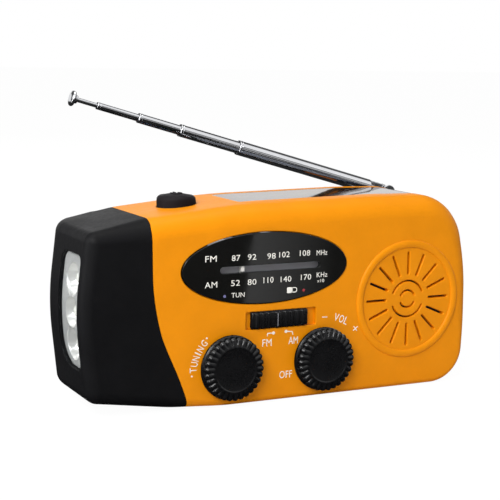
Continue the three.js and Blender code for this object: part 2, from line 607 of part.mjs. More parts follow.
// ---------- ports ----------
piece('port_board', MAT.board, box([46.8, 58.2], [10.1, 11.3], [13.2, 36.8]));
piece('usb_port', MAT.steel, join(
  cut(box([47.5, 60.25], [4.1, 9.7], [14.6, 27.4]), box([52, 65], [4.5, 9.3], [15.0, 27.0])),
  box([51, 59.6], [7.4, 8.9], [15.8, 26.2])));
piece('charge_port', MAT.steel, join(
  cut(box([55.3, 60.25], [5.6, 8.2], [29.2, 36.7]), box([56.5, 65], [5.95, 7.85], [29.6, 36.3])),
  box([56, 59.6], [6.7, 7.1], [30.6, 35.3])));
piece('port_cover', MAT.rubber, body(0.05).intersect(box([60.6, FAR], [1.3, 12.3], [13.8, 38.8])));

// ---------- telescopic antenna ----------
piece('antenna_socket', MAT.brass, cut(
  join(cylZ(ANTENNA_AXIS, 2.3, [45.4, 52.9], 18), cylZ(ANTENNA_AXIS, 2.3, [52.5, 53.0], 18)),
  cylZ(ANTENNA_AXIS, 1.6, [40, 60], 14)));

const pivot = [ANTENNA.x, ANTENNA.pivotZ];
const swivelCheek = y => prismY(stadium([ANTENNA.x, 53.4], pivot, 2.3, 6), y)
  .intersect(box([40, 60], [0, 30], [53.2, 70]));
piece('antenna_swivel', MAT.chrome, cut(
  join(
    cylZ(ANTENNA_AXIS, 3.3, [53.15, 53.55], 20),
    cylZ(ANTENNA_AXIS, 1.4, [46, 53.5], 14),
    swivelCheek([ANTENNA.y - 2.9, ANTENNA.y - 1.65]),
    swivelCheek([ANTENNA.y + 1.65, ANTENNA.y + 2.9])),
  cylY(pivot, 0.95, [0, 30], 14)));
piece('antenna_hinge_pin', MAT.steel, cylY(pivot, 0.8, around(ANTENNA.y, 3.0), 12));

// The mast is built upright from its pivot, then tipped towards -X.
const mast = new THREE.Group();
mast.position.set(ANTENNA.x, ANTENNA.y, ANTENNA.pivotZ);
mast.rotation.y = degToRad(ANTENNA.elevation - 90);
radio.add(mast);

const TUBE_WALL = 0.2;
const BASE_TUBE = { radius: 2.3, end: 55.7 };
const MIDDLE_TUBES = [[1.9, 75.9, 48], [1.5, 89.7, 46], [1.1, 103.0, 44]]; // radius, end, length
const LAST_TUBE = { radius: 0.7, end: 111.1, length: 42 };

function baseTube() {
  const { radius, end } = BASE_TUBE;
  const bore = radius - TUBE_WALL;
  const tube = latheZ([0, 0], [
    [0, 4.8], [1.35, 4.8], [radius, 6.6], [radius, end], [bore, end], [bore, 8], [0, 8],
  ], 16);
  const tongue = prismY(stadium([0, 0], [0, 6.2], 2.0, 8), [-1.35, 1.35]);
  return cut(join(tube, tongue), cylY([0, 0], 0.95, [-5, 5], 14));
}
piece('antenna_tube_1', MAT.chrome, baseTube(), mast);
MIDDLE_TUBES.forEach(([radius, end, length], i) => {
  const start = end - length;
  const bore = radius - TUBE_WALL;
  piece(`antenna_tube_${i + 2}`, MAT.chrome, latheZ([0, 0], [
    [0, start], [radius, start], [radius, end], [bore, end], [bore, start + 1.5], [0, start + 1.5],
  ], 14), mast);
});
const tipEnd = LAST_TUBE.end;
piece('antenna_tube_5', MAT.chrome,
  cylZ([0, 0], LAST_TUBE.radius, [tipEnd - LAST_TUBE.length, tipEnd - 1.9], 10), mast);
piece('antenna_tip', MAT.chrome, latheZ([0, 0], [
  [0, tipEnd - 1.85], [1.2, tipEnd - 1.85], [2.0, tipEnd - 1.2],
  [2.0, tipEnd - 0.4], [1.3, tipEnd], [0, tipEnd],
], 16), mast);

// ---------- crank, with the arm swung out towards -X ----------
const { hingeX, hingeY } = CRANK;
const hinge = [hingeX, hingeY];
const hingeBore = cylZ(hinge, 1.0, around(crankZ, 8), 12);
const lug = z => prismZ(stadium(hinge, [hingeX, 13.8], 2.4, 8), z)
  .intersect(box([-20, 20], [13, 30], [0, 60]));
piece('crank_hub', MAT.black, cut(
  join(
    cylY(CRANK.centre, 9.2, [12.6, 15.4], 28),
    cylY(CRANK.centre, 2.45, [8.1, 13], 16),
    lug([crankZ - 5.3, crankZ - 2.8]),
    lug([crankZ + 2.8, crankZ + 5.3])),
  hingeBore));
piece('crank_hinge_pin', MAT.steel, cylZ(hinge, 0.85, around(crankZ, 5.3), 12));

const handle = [hingeX - CRANK.arm, crankZ];
const armY = [hingeY + 0.4, hingeY + 0.4 + CRANK.thickness];
const knobEnd = armY[1] + CRANK.knobLength;
piece('crank_arm', MAT.black, cut(
  join(
    prismY(stadium([hingeX - 5.5, crankZ], handle, CRANK.width / 2, 10), armY)
      .intersect(box([-80, hingeX - 3.0], [0, 40], [0, 60])),
    box([hingeX - 4.5, hingeX], [armY[0], armY[1] - 0.9], around(crankZ, 2.5)),
    cylZ(hinge, 2.3, around(crankZ, 2.5), 20)),
  hingeBore,
  cylY(handle, 1.6, [0, 60], 14),
  cylY(handle, 2.7, [0, armY[0] + 1.1], 16)));
piece('crank_knob_pin', MAT.steel, join(
  cylY(handle, 1.4, [armY[0] + 0.2, knobEnd - 1.2], 14),
  cylY(handle, 2.4, [armY[0] + 0.1, armY[0] + 0.9], 16)));
piece('crank_knob', MAT.knob, cut(
  latheY(handle, [
    [0, armY[1] + 0.3], [4.2, armY[1] + 0.3], [CRANK.knobRadius, armY[1] + 1.5],
    [CRANK.knobRadius, knobEnd - 2.0], [4.2, knobEnd], [0, knobEnd],
  ], 24),
  cylY(handle, 1.65, [0, knobEnd - 0.9], 14)));

// ---------- gear train and generator ----------
const drivenCentre = (from, { module, wheel, pinion, direction }) =>
  polar(from, module * (wheel + pinion) / 2, direction);
const wheelGear = (centre, { module, wheel, direction, y }) =>
  prismY(gear(centre, module, wheel, direction), y);
// The pinion has a gap facing the wheel tooth on the line of centres.
const pinionGear = (centre, { module, pinion, direction }, y) =>
  prismY(gear(centre, module, pinion, direction + Math.PI + Math.PI / pinion), y);

const idler = drivenCentre(CRANK.centre, CRANK_STAGE);
const generator = drivenCentre(idler, GENERATOR_STAGE);
piece('crank_gear', MAT.white,
  cut(wheelGear(CRANK.centre, CRANK_STAGE), cylY(CRANK.centre, 2.5, [5, 15], 16)));
piece('idler_gear', MAT.white, cut(
  join(
    pinionGear(idler, CRANK_STAGE, [GENERATOR_STAGE.y[1] - 0.3, CRANK_STAGE.y[1]]),
    wheelGear(idler, GENERATOR_STAGE)),
  cylY(idler, 1.3, [0, 20], 12)));
piece('generator_pinion', MAT.brass, join(
  pinionGear(generator, GENERATOR_STAGE, GENERATOR_STAGE.y),
  cylY(generator, 0.95, [1.6, 6], 12)));
piece('idler_axle', MAT.steel,
  join(cylY(idler, 1.15, [3.4, 11.2], 12), cylY(idler, 2.2, [10.6, 11.2], 14)));
piece('gear_plate', MAT.steel, cut(
  prismY(roundRect([-12, 33], [22, 46.4], 2, 3), [3.7, 4.9]),
  cylY(idler, 1.25, [0, 10], 12),
  cylY(generator, 1.4, [0, 10], 12),
  cylY(pocket, 8.9, [0, 10], 24))); // clears the crank knob pocket
piece('generator', MAT.steel, cut(
  latheY(generator, [[0, -5.6], [9.2, -5.6], [9.8, -5.0], [9.8, 2.8], [9.2, 3.4], [0, 3.4]], 24),
  cylY(generator, 1.3, [1.2, 6], 12)));

export default radio;
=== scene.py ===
"""Hand-crank emergency radio, modelled around its CAD frame.

X runs along the case with the lamp end at -X, Y from the front face (-Y) to the back (+Y),
and Z is up. Lengths are built in mm and stored in metres.
"""
from contextlib import contextmanager
from functools import partial
from math import acos, atan2, cos, degrees, hypot, pi, radians, sin, sqrt, tan

import bmesh
import bpy
import numpy as np
from mathutils import Matrix, Vector


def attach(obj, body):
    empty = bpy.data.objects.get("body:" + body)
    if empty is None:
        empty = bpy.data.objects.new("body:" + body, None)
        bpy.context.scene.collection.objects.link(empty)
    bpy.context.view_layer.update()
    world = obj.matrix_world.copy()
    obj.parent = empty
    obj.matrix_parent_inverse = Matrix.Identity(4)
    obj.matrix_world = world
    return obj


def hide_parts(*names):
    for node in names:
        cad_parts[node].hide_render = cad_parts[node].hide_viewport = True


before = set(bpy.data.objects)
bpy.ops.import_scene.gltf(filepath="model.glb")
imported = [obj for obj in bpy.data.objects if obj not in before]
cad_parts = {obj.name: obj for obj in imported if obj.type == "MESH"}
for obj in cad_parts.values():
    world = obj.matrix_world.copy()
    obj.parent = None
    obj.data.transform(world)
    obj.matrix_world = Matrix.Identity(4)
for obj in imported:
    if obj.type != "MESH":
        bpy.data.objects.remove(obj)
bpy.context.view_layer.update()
scene = bpy.context.scene
QUARTER = pi / 2

# ---------------------------------------------------------------- main dimensions (mm)
HALF_DEPTH = 19.3
END_RADIUS = 14.0    # rounding of the lamp end seen from above, on the rear side
WALL = 2.0
# case outline seen from the front: x, z, corner radius, front edge radius, rear edge radius
OUTLINE = [
    (-61.8, 4.2, 4.0, 4.0, 5.0), (-36, 0.5, 60, 3.6, 4.0), (-20, 0, 140, 1.8, 2.5),
    (59.6, 0, 11.5, 1.8, 2.5), (63.0, 28.5, 120, 4.5, 4.5), (58.3, 57.6, 15.5, 6.3, 6.3),
    (30, 58.1, 200, 6.5, 6.5), (-14, 57.3, 200, 6.5, 6.5), (-43.3, 54.4, 60, 6.0, 6.0),
    (-62.0, 51.1, 3.3, 3.5, 5.0), (-64.6, 29, 80, 3.5, 5.5)]
# seam between the black lamp housing and the orange shells: x, z
SEAM = [
    (-32.6, -6), (-32.8, 0), (-33.1, 2.7), (-35.6, 9.5), (-38.6, 16.3), (-40.7, 21.5),
    (-42.1, 26.9), (-43.0, 32), (-43.5, 37.2), (-43.7, 45), (-43.8, 51.4), (-43.5, 54),
    (-43.3, 64)]
DIAL_X, DIAL_Z = -8.7, 39.3
DIAL_A, DIAL_B = 26.45, 10.4              # half width and half height
GRILLE_X, GRILLE_Z = 39.4, 27.0
KNOB_Z, TUNING_X, VOLUME_X = 11.4, -19.8, 9.95
SLOT_X0, SLOT_X1, SLOT_Z0, SLOT_Z1 = -15.0, 7.8, 21.56, 26.8    # band slider opening
SLIDER_X0, SLIDER_X1 = -13.2, 4.8
INDEX_X = -5.2                            # index ridge on the slider
BUTTON_X = -28.5
PANEL_X0, PANEL_X1, PANEL_Y0, PANEL_Y1 = -13.0, 50.0, -9.5, 10.5
SCREWS = [(-30.5, 8), (54, 8), (55.5, 40.5), (-14.5, 49.8)]     # x, z
HATCH_SCREW = (-25, 16.2)
SPLIT_Y = -1.5                            # plane where front and rear shells meet
SPLIT_GAP = 0.05                          # set back from that plane on each side
CRANK_X, CRANK_Z = -2.0, 28.75
HINGE_X, HINGE_Y, ARM = -6.0, 19.6, 42.0
MAST_X, MAST_Y, MAST_Z = 52.0, 15.5, 55.7
MAST_ELEVATION = 15.8                     # degrees above the horizontal


# ---------------------------------------------------------------- mesh helpers
def link(data, name="part"):
    part = bpy.data.objects.new(name, data)
    scene.collection.objects.link(part)
    return part


def discard(part):
    bpy.data.objects.remove(part, do_unlink=True)


@contextmanager
def editing(mesh):
    bm = bmesh.new()
    bm.from_mesh(mesh)
    yield bm
    bm.to_mesh(mesh)
    bm.free()


def from_bmesh(bm):
    mesh = bpy.data.meshes.new("part")
    bm.to_mesh(mesh)
    bm.free()
    return link(mesh)


def raw_mesh(verts, faces, name="part"):
    mesh = bpy.data.meshes.new(name)
    mesh.from_pydata([tuple(map(float, v)) for v in verts], [], faces)
    return link(mesh, name)


def solid(verts, faces):
    part = raw_mesh(verts, faces)
    with editing(part.data) as bm:
        bmesh.ops.recalc_face_normals(bm, faces=bm.faces)
    return part


def merge(*parts):
    bm = bmesh.new()
    for part in parts:
        bm.from_mesh(part.data)
        discard(part)
    return from_bmesh(bm)


def copy_of(part):
    return link(part.data.copy())


def boolean(operation, part, tool, keep=False):
    """Try the solver for closed meshes first and fall back to the exact one.

    Faces of many corners are split at once; the tool goes unless keep is set.
    """
    for solver in ('MANIFOLD', 'EXACT'):
        mod = part.modifiers.new("boolean", 'BOOLEAN')
        mod.operation = operation
        mod.solver = solver
        mod.object = tool
        bpy.context.view_layer.update()
        depsgraph = bpy.context.evaluated_depsgraph_get()
        mesh = bpy.data.meshes.new_from_object(part.evaluated_get(depsgraph))
        part.modifiers.remove(mod)
        with editing(mesh) as bm:
            many = [f for f in bm.faces if len(f.verts) > 4]
            bmesh.ops.triangulate(bm, faces=many, ngon_method='BEAUTY')
            closed = len(bm.faces) > 0 and all(len(e.link_faces) == 2 for e in bm.edges)
        if closed:
            break
    part.data = mesh
    if not keep:
        discard(tool)
    return part


cut = partial(boolean, 'DIFFERENCE')
both = partial(boolean, 'INTERSECT')
union = partial(boolean, 'UNION')


# ---------------------------------------------------------------- outlines (u, v)
def ccw(points):
    points = np.asarray(points, float)
    x, y = points[:, 0], points[:, 1]
    area = np.sum(x * np.roll(y, -1) - np.roll(x, -1) * y)
    return points if area > 0 else points[::-1].copy()


def grow(points, distance):
    """Closed outline moved outwards by distance."""
    points = ccw(points)
    if abs(distance) < 1e-9:
        return points
    edge = np.roll(points, -1, 0) - points
    edge /= np.linalg.norm(edge, axis=1)[:, None]
    normal = np.c_[edge[:, 1], -edge[:, 0]]
    before = np.roll(normal, 1, 0)
    return points + distance * (normal + before) / (1 + np.sum(normal * before, 1))[:, None]


def arc(x, y, r, angles):
    return np.c_[x + r * np.cos(angles), y + r * np.sin(angles)]


def circle(x, y, r, n=48):
    return arc(x, y, r, 2 * pi * np.arange(n) / n)


def stadium(x0, y0, x1, y1, r, n=10):
    """Bar with round ends of radius r about its two end points."""
    t = atan2(y1 - y0, x1 - x0) - QUARTER + pi * np.arange(n + 1) / n
    return np.vstack([arc(x1, y1, r, t), arc(x0, y0, -r, t)])


def round_rect(u0, u1, v0, v1, radius, n=6):
    """Rounded rectangle; four radii run from (u1, v0) round to (u0, v0)."""
    r = radius if isinstance(radius, list) else [radius] * 4
    corners = [(u1 - r[0], v0 + r[0], -90), (u1 - r[1], v1 - r[1], 0),
               (u0 + r[2], v1 - r[2], 90), (u0 + r[3], v0 + r[3], 180)]
    return np.vstack([arc(u, v, q, np.radians(a + 90 * np.arange(n + 1) / n))
                      for (u, v, a), q in zip(corners, r)])


def corner_arms(p, before, after):
    """Unit arms and arm lengths at a corner, and half the angle between the arms."""
    a, b = before - p, after - p
    la, lb = np.linalg.norm(a), np.linalg.norm(b)
    a /= la
    b /= lb
    return a, b, la, lb, acos(max(-1, min(1, a @ b))) / 2


def fillet(centre, start, end, radius, steps):
    start, end = start - centre, end - centre
    angle = atan2(start[1], start[0])
    sweep = (atan2(end[1], end[0]) - angle + pi) % (2 * pi) - pi
    return arc(*centre, radius, angle + sweep * np.arange(steps + 1) / steps)


def rounded(points, steps=5):
    """Open polyline with rounded corners: points are (u, v) or (u, v, radius)."""
    result = []
    for i, point in enumerate(points):
        r = point[2] if len(point) > 2 else 0
        if r <= 0 or i in (0, len(points) - 1):
            result.append(point[:2])
            continue
        p, before, after = (np.array(q[:2], float) for q in (point, points[i - 1], points[i + 1]))
        a, b, la, lb, half = corner_arms(p, before, after)
        if half > QUARTER - 1e-3:
            result.append(point[:2])
            continue
        reach = min(r / tan(half), .49 * la, .49 * lb)
        r = reach * tan(half)
        centre = p + (a + b) / np.linalg.norm(a + b) * r / sin(half)
        result += map(tuple, fillet(centre, p + a * reach, p + b * reach, r, steps))
    return result


# ---------------------------------------------------------------- solids
def place(points, h, axis='Y'):
    """Outline points set at height h along the axis, as xyz rows."""
    u, v = np.asarray(points, float).T
    h = np.full(len(u), float(h))
    return np.column_stack({'X': (h, u, v), 'Y': (u, h, v), 'Z': (u, v, h)}[axis])


def loft(rings, loop=False):
    """Skin over equal rings; ends close with flat caps unless loop."""
    n, count = len(rings[0]), len(rings)
    faces = []
    for r in range(count if loop else count - 1):
        s = (r + 1) % count
        for i in range(n):
            j = (i + 1) % n
            faces.append((r * n + i, r * n + j, s * n + j, s * n + i))
    if not loop:
        faces.append(tuple(range(n))[::-1])
        faces.append(tuple(range((count - 1) * n, count * n)))
    return solid(np.vstack(rings), faces)


def prism(points, h0, h1, r0=0.0, r1=0.0, axis='Y'):
    """Prism with rounded rims: r0 at h0, r1 at h1 (h0 < h1)."""
    turn = np.linspace(0, QUARTER, 5)
    levels = [(h0 + r0 * (1 - cos(t)), r0 * (1 - sin(t))) for t in (turn if r0 else turn[:1])]
    levels += [(h1 - r1 * (1 - sin(t)), r1 * (1 - cos(t))) for t in turn] if r1 else [(h1, 0)]
    return loft([place(grow(points, -inset), h, axis) for h, inset in levels])


def mouth(h_in, flare, surface=HALF_DEPTH, h_out=25, count=5):
    """(height, growth) levels of a cutter whose mouth at the surface is rounded."""
    s = 1 if h_out > surface else -1
    lip = [(surface - s * flare + s * flare * sin(t), flare * (1 - cos(t)))
           for t in np.linspace(0, QUARTER * 0.98, count)]
    return [(h_in, 0)] + lip + [(h_out, flare)]


def flared(points, h_in, flare, surface=HALF_DEPTH, h_out=25):
    levels = mouth(h_in, flare, surface, h_out)
    return loft([place(grow(points, growth), h) for h, growth in levels])


def box(x0, x1, y0, y1, z0, z1):
    verts = [(x, y, z) for x in (x0, x1) for y in (y0, y1) for z in (z0, z1)]
    return solid(verts, [(0, 1, 3, 2), (4, 6, 7, 5), (0, 4, 5, 1), (2, 3, 7, 6), (0, 2, 6, 4),
                         (1, 5, 7, 3)])


def lathe(profile, u=0.0, v=0.0, n=48, axis='Y', loop=False):
    """Turned solid from (radius, height) points."""
    return loft([place(circle(u, v, max(r, 0.02), n), h, axis) for r, h in profile], loop)


def cylinder(r, h0, h1, u, v, n, axis='Y'):
    return lathe([(r, h0), (r, h1)], u, v, n, axis)


def finish(part, name, body, look, replaced=None, angle=32, weighted=True, pose=Matrix()):
    mesh = part.data
    mesh.transform(Matrix.Scale(0.001, 4) @ pose)
    with editing(mesh) as bm:
        bmesh.ops.remove_doubles(bm, verts=bm.verts, dist=2e-7)
        bmesh.ops.dissolve_degenerate(bm, dist=1e-7, edges=bm.edges)
        for items, context in ((bm.edges, 'EDGES'), (bm.verts, 'VERTS')):
            loose = [item for item in items if not item.link_faces]
            bmesh.ops.delete(bm, geom=loose, context=context)
    mesh.materials.clear()
    mesh.materials.append(LOOKS[look])
    for face in mesh.polygons:
        face.use_smooth = True
    mesh.set_sharp_from_angle(angle=radians(angle))
    if weighted:
        mod = part.modifiers.new("wn", 'WEIGHTED_NORMAL')
        mod.keep_sharp = True
        mod.weight = 80
    part.name = name
    mesh.name = name
    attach(part, body)
    if replaced:
        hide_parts(replaced)


# ---------------------------------------------------------------- shader helpers
def srgb(rgb):
    """Linear RGBA from 0-255 sRGB."""
    return tuple(c / 255 / 12.92 if c <= 10.3 else ((c / 255 + 0.055) / 1.055) ** 2.4
                 for c in rgb) + (1.0,)


class Graph:
    """Empty node tree of a material or world, with short ways to add nodes."""
    def __init__(self, owner):
        owner.use_nodes = True
        self.tree = owner.node_tree
        self.tree.nodes.clear()

    def add(self, kind, inputs=None, **settings):
        """New node; an input may be a value, a socket, or a node (its first output)."""
        node = self.tree.nodes.new('ShaderNode' + kind)
        for key, value in settings.items():
            setattr(node, key, value)
        for key, value in (inputs or {}).items():
            if isinstance(value, bpy.types.Node):
                value = value.outputs[0]
            if isinstance(value, bpy.types.NodeSocket):
                self.tree.links.new(value, node.inputs[key])
            else:
                node.inputs[key].default_value = value
        return node

    def math(self, operation, a, b, **settings):
        return self.add('Math', {0: a, 1: b}, operation=operation, **settings)

    def remap(self, value, to_min, to_max, from_min=0.3, from_max=0.7):
        return self.add('MapRange', {0: value, 1: from_min, 2: from_max, 3: to_min, 4: to_max})

    def noise(self, vector, scale, detail=3.0, rough=0.5):
        return self.add('TexNoise', {'Vector': vector, 'Scale': scale, 'Detail': detail,
                                     'Roughness': rough})


def material(name, rgb, rough=0.5, metal=0.0, grain=2.6, bump=0.02, var=0.06, rough_var=0.08,
             wear=0.0, wear_rgb=None, bevel=0.0, coat=0.0, spec=0.5, stretch_x=1,
             var_scale=0.12, scratches=0.0, overlay=None):
    """Procedural finish.

    grain: bump noise per mm; bump: its height in mm; var, rough_var: variation of brightness
    and roughness; var_scale: noise per mm of the broad variation; wear: paler edges, which
    need wear_rgb and bevel (mm); overlay: function that adds to the colour.
    """
    mat = bpy.data.materials.new(name)
    g = Graph(mat)
    coords = g.add('TexCoord').outputs['Object']
    per_mm = g.add('Mapping', {'Vector': coords, 'Scale': (1000 * stretch_x, 1000, 1000)})
    broad = g.noise(per_mm, var_scale)
    mid = g.noise(per_mm, 0.9, 4, 0.6)
    fine = g.noise(per_mm, grain, 4, 0.55)
    value = g.math('MULTIPLY', g.remap(broad, 1 - var, 1 + var),
                   g.remap(mid, 1 - var * 0.35, 1 + var * 0.35))
    colour = g.add('HueSaturation', {'Color': srgb(rgb), 'Value': value})
    half_var = rough_var / 2
    roughness = g.math('ADD', g.remap(mid, -half_var, half_var),
                       g.remap(broad, rough - half_var, rough + half_var))
    relief = {'Strength': 1.0, 'Distance': bump / 1000, 'Height': fine}
    if wear:
        soft = g.add('Bevel', {'Radius': bevel / 1000}, samples=4)
        relief['Normal'] = soft
        normal = g.add('NewGeometry').outputs['Normal']
        facing = g.add('VectorMath', {0: soft, 1: normal}, operation='DOT_PRODUCT')
        edge = g.remap(facing.outputs['Value'], 1.0, 0.0, 0.90, 0.995)
        patches = g.remap(g.noise(per_mm, 0.5, 5, 0.7), 0.0, wear, 0.38, 0.62)
        colour = g.add('MixRGB', {'Fac': g.math('MULTIPLY', edge, patches), 'Color1': colour,
                                  'Color2': srgb(wear_rgb)})
    if scratches:
        streaks = g.add('Mapping', {'Vector': coords, 'Scale': (260, 2600, 5200),
                                    'Rotation': (0.4, 0.7, 0.3)})
        lines = g.remap(g.noise(streaks, 1.0, 2.0), 0.0, scratches, 0.60, 0.72)
        roughness = g.math('ADD', roughness, lines)
    if overlay:
        colour = overlay(g, colour)
    shader = g.add('BsdfPrincipled', {
        'Normal': g.add('Bump', relief), 'Base Color': colour, 'Roughness': roughness,
        'Metallic': metal, 'Coat Weight': coat, 'Coat Roughness': 0.04,
        'Specular IOR Level': spec, 'IOR': 1.5})
    g.add('OutputMaterial', {0: shader})
    return mat


def clear(name, tint, ior, rough=0.03, bump=0.004, gain=1.0):
    """See-through moulding with a Fresnel reflection, strengthened by gain."""
    mat = bpy.data.materials.new(name)
    g = Graph(mat)
    coords = g.add('TexCoord').outputs['Object']
    per_mm = g.add('Mapping', {'Vector': coords, 'Scale': (1000, 1000, 1000)})
    ripple = g.noise(per_mm, scale=0.35)
    relief = g.add('Bump', {'Distance': bump / 1000, 'Height': ripple})
    roughness = g.remap(ripple, rough * 0.6, rough * 1.6, 0, 1)
    gloss = g.add('BsdfGlossy', {'Normal': relief, 'Roughness': roughness})
    paler = srgb([min(255, c + 8) for c in tint])
    colour = g.add('MixRGB', {'Fac': ripple, 'Color1': srgb(tint), 'Color2': paler})
    through = g.add('BsdfTransparent', {'Color': colour})
    # reflect on the way in only
    front_side = g.math('SUBTRACT', 1.0, g.add('NewGeometry').outputs['Backfacing'])
    fresnel = g.add('Fresnel', {'IOR': ior, 'Normal': relief})
    amount = g.math('MULTIPLY', g.math('MULTIPLY', fresnel, front_side), gain, use_clamp=True)
    g.add('OutputMaterial', {0: g.add('MixShader', {0: amount, 1: through, 2: gloss})})
    return mat


def solar_lines(g, colour):
    """Fine lines along X and broad ones along Y; pitches and widths in metres."""
    xyz = g.add('SeparateXYZ', {0: g.add('TexCoord').outputs['Object']})

    def lines(axis, pitch, width):
        wave = g.math('PINGPONG', g.math('ADD', xyz.outputs[axis], 0.0), pitch / 2)
        return g.math('LESS_THAN', wave, width / 2)
    grid = g.math('MAXIMUM', lines('Y', pitch=0.0016, width=0.00014),
                  lines('X', pitch=0.0096, width=0.0008))
    return g.add('MixRGB', {'Fac': grid, 'Color1': colour, 'Color2': srgb((176, 180, 188))})


# ---------------------------------------------------------------- materials
LOOKS = {
    "orange": material("orange_plastic", (240, 146, 0), rough=0.46, grain=3.2, bump=0.010,
                       var=0.03, wear=0.12, wear_rgb=(255, 176, 50), bevel=0.10, spec=0.17),
    "black": material("black_housing_plastic", (17, 17, 19), rough=0.54, grain=3.0, bump=0.016,
                      var=0.10, wear=0.25, wear_rgb=(46, 46, 48), bevel=0.30, spec=0.12),
    "knob": material("satin_black_plastic", (14, 14, 16), rough=0.28, grain=2.4, bump=0.004,
                     var=0.10, wear=0.15, wear_rgb=(44, 44, 46), bevel=0.08),
    "button": material("button_rubber", (27, 24, 27), rough=0.58, grain=3.0, bump=0.016,
                       var=0.10, wear=0.25, wear_rgb=(52, 48, 52), bevel=0.2, spec=0.12),
    "dial": material("gloss_black_window", (20, 20, 19), rough=0.045, grain=0.5, bump=0.0008,
                     var=0.08, rough_var=0.02, wear=0.3, wear_rgb=(60, 60, 62), bevel=0.08,
                     scratches=0.03),
    "scale": material("scale_strip", (176, 176, 182), grain=4, bump=0.008, var=0.05),
    "pointer": material("pointer_white", (240, 238, 232), rough=0.4, grain=4, bump=0.006,
                        var=0.04),
    "ink": material("printed_ink", (250, 248, 240), rough=0.6, grain=8, bump=0.004, var=0.03),
    "index": material("index_line", (150, 150, 156), grain=8, bump=0.004, var=0.03),
    "ink_red": material("printed_ink_red", (176, 58, 66), rough=0.35, grain=8, bump=0.004,
                        var=0.08),
    "ink_blue": material("printed_ink_blue", (120, 120, 168), rough=0.35, grain=8, bump=0.004,
                         var=0.08),
    "chrome": material("antenna_chrome", (226, 227, 230), rough=0.10, metal=1.0, grain=1.2,
                       bump=0.0015, var=0.05, rough_var=0.05, wear=0.3,
                       wear_rgb=(180, 178, 172), bevel=0.05, scratches=0.08),
    "steel": material("zinc_steel", (172, 173, 178), rough=0.30, metal=1.0, grain=2.0,
                      bump=0.006, var=0.10, rough_var=0.12, scratches=0.1),
    "brass": material("brass", (196, 154, 80), rough=0.30, metal=1.0, grain=2.0, bump=0.005,
                      var=0.10, rough_var=0.12, scratches=0.1),
    "mirror": material("reflector_silver", (242, 240, 236), rough=0.20, metal=0.42, grain=0.55,
                       bump=0.03, var=0.05, coat=0.3),
    "led": material("led_epoxy", (244, 242, 232), rough=0.10, grain=1.0, bump=0.003, var=0.04,
                    coat=0.6),
    "board": material("green_board", (28, 104, 62), rough=0.42, grain=1.4, var=0.18,
                      rough_var=0.1, var_scale=0.4),
    "white": material("white_plastic", (232, 229, 218), rough=0.45, bump=0.01, var=0.05),
    "rod": material("ferrite", (52, 51, 53), rough=0.75, grain=3.0, bump=0.03, var=0.15),
    "copper": material("copper_winding", (178, 104, 54), rough=0.38, metal=0.9, grain=1.0,
                       bump=0.05, var=0.15, stretch_x=6),
    "paper": material("cone_paper", (44, 42, 39), rough=0.9, grain=2.5, bump=0.05, var=0.18),
    "cell_wrap": material("battery_wrap", (46, 108, 170), rough=0.35, grain=1.0, bump=0.01,
                          var=0.08),
    "rubber": material("port_rubber", (31, 31, 32), rough=0.78, grain=2.4, bump=0.03, var=0.12,
                       wear=0.3, wear_rgb=(62, 62, 62), bevel=0.2, spec=0.3),
    "clear": clear("clear_lens", (246, 248, 250), ior=1.45),
    "pane": clear("solar_pane", (214, 220, 226), ior=1.9, rough=0.05, bump=0.002, gain=1.5),
    "cell": material("solar_silicon", (26, 34, 70), rough=0.30, grain=0.8, bump=0.002,
                     var=0.16, var_scale=0.5, overlay=solar_lines),
}

# ---------------------------------------------------------------- case surface
STEPS = [20 if 10 < row[2] < 20 else 10 if row[2] < 10 else 16 for row in OUTLINE]


def corner(i, inset):
    """Arc of outline corner i, with the outline moved inwards by inset."""
    p, before, after = (np.array(OUTLINE[k % len(OUTLINE)][:2], float) for k in (i, i - 1, i + 1))
    a, b, la, lb, half = corner_arms(p, before, after)
    r, longest = OUTLINE[i][2], 0.499 * min(la, lb)
    if r / tan(half) > longest:
        r = longest * tan(half)
    bisector = (a + b) / np.linalg.norm(a + b)
    r = max(r - inset, 0.12)
    p = p + bisector * inset / sin(half)
    reach = r / tan(half)
    return fillet(p + bisector * r / sin(half), p + a * reach, p + b * reach, r, STEPS[i])


def perimeter():
    """Outline points as (corner, step, next corner, blend), and their edge radii.

    The front and rear edge radii vary smoothly from corner to corner.
    """
    n = len(OUTLINE)
    corners = [corner(i, 0) for i in range(n)]
    stations, points, apex = [], [], []
    for i in range(n):
        j = (i + 1) % n
        start, end = corners[i][-1], corners[j][0]
        apex.append(len(stations) + STEPS[i] / 2)
        for k in range(STEPS[i] + 1):
            stations.append((i, k, i, 0.0))
            points.append(corners[i][k])
        between = int(np.linalg.norm(end - start) // 4)
        for k in range(1, between + 1):
            f = k / (between + 1)
            stations.append((i, STEPS[i], j, f))
            points.append(start + (end - start) * f)
    points = np.array(points)
    run = np.r_[0, np.cumsum(np.linalg.norm(np.roll(points, -1, 0) - points, axis=1))]
    apex_run = np.interp(apex, np.arange(len(run)), run)
    total = run[-1]
    radii = []
    for u in run[:-1]:
        j = int(np.searchsorted(apex_run, u) % n)
        i = (j - 1) % n
        f = ((u - apex_run[i]) % total) / ((apex_run[j] - apex_run[i]) % total)
        f = 0.5 - 0.5 * cos(pi * min(1, max(0, f)))
        radii.append([OUTLINE[i][c] + (OUTLINE[j][c] - OUTLINE[i][c]) * f for c in (3, 4)])
    return stations, np.array(radii)


STATIONS, EDGE_RADII = perimeter()


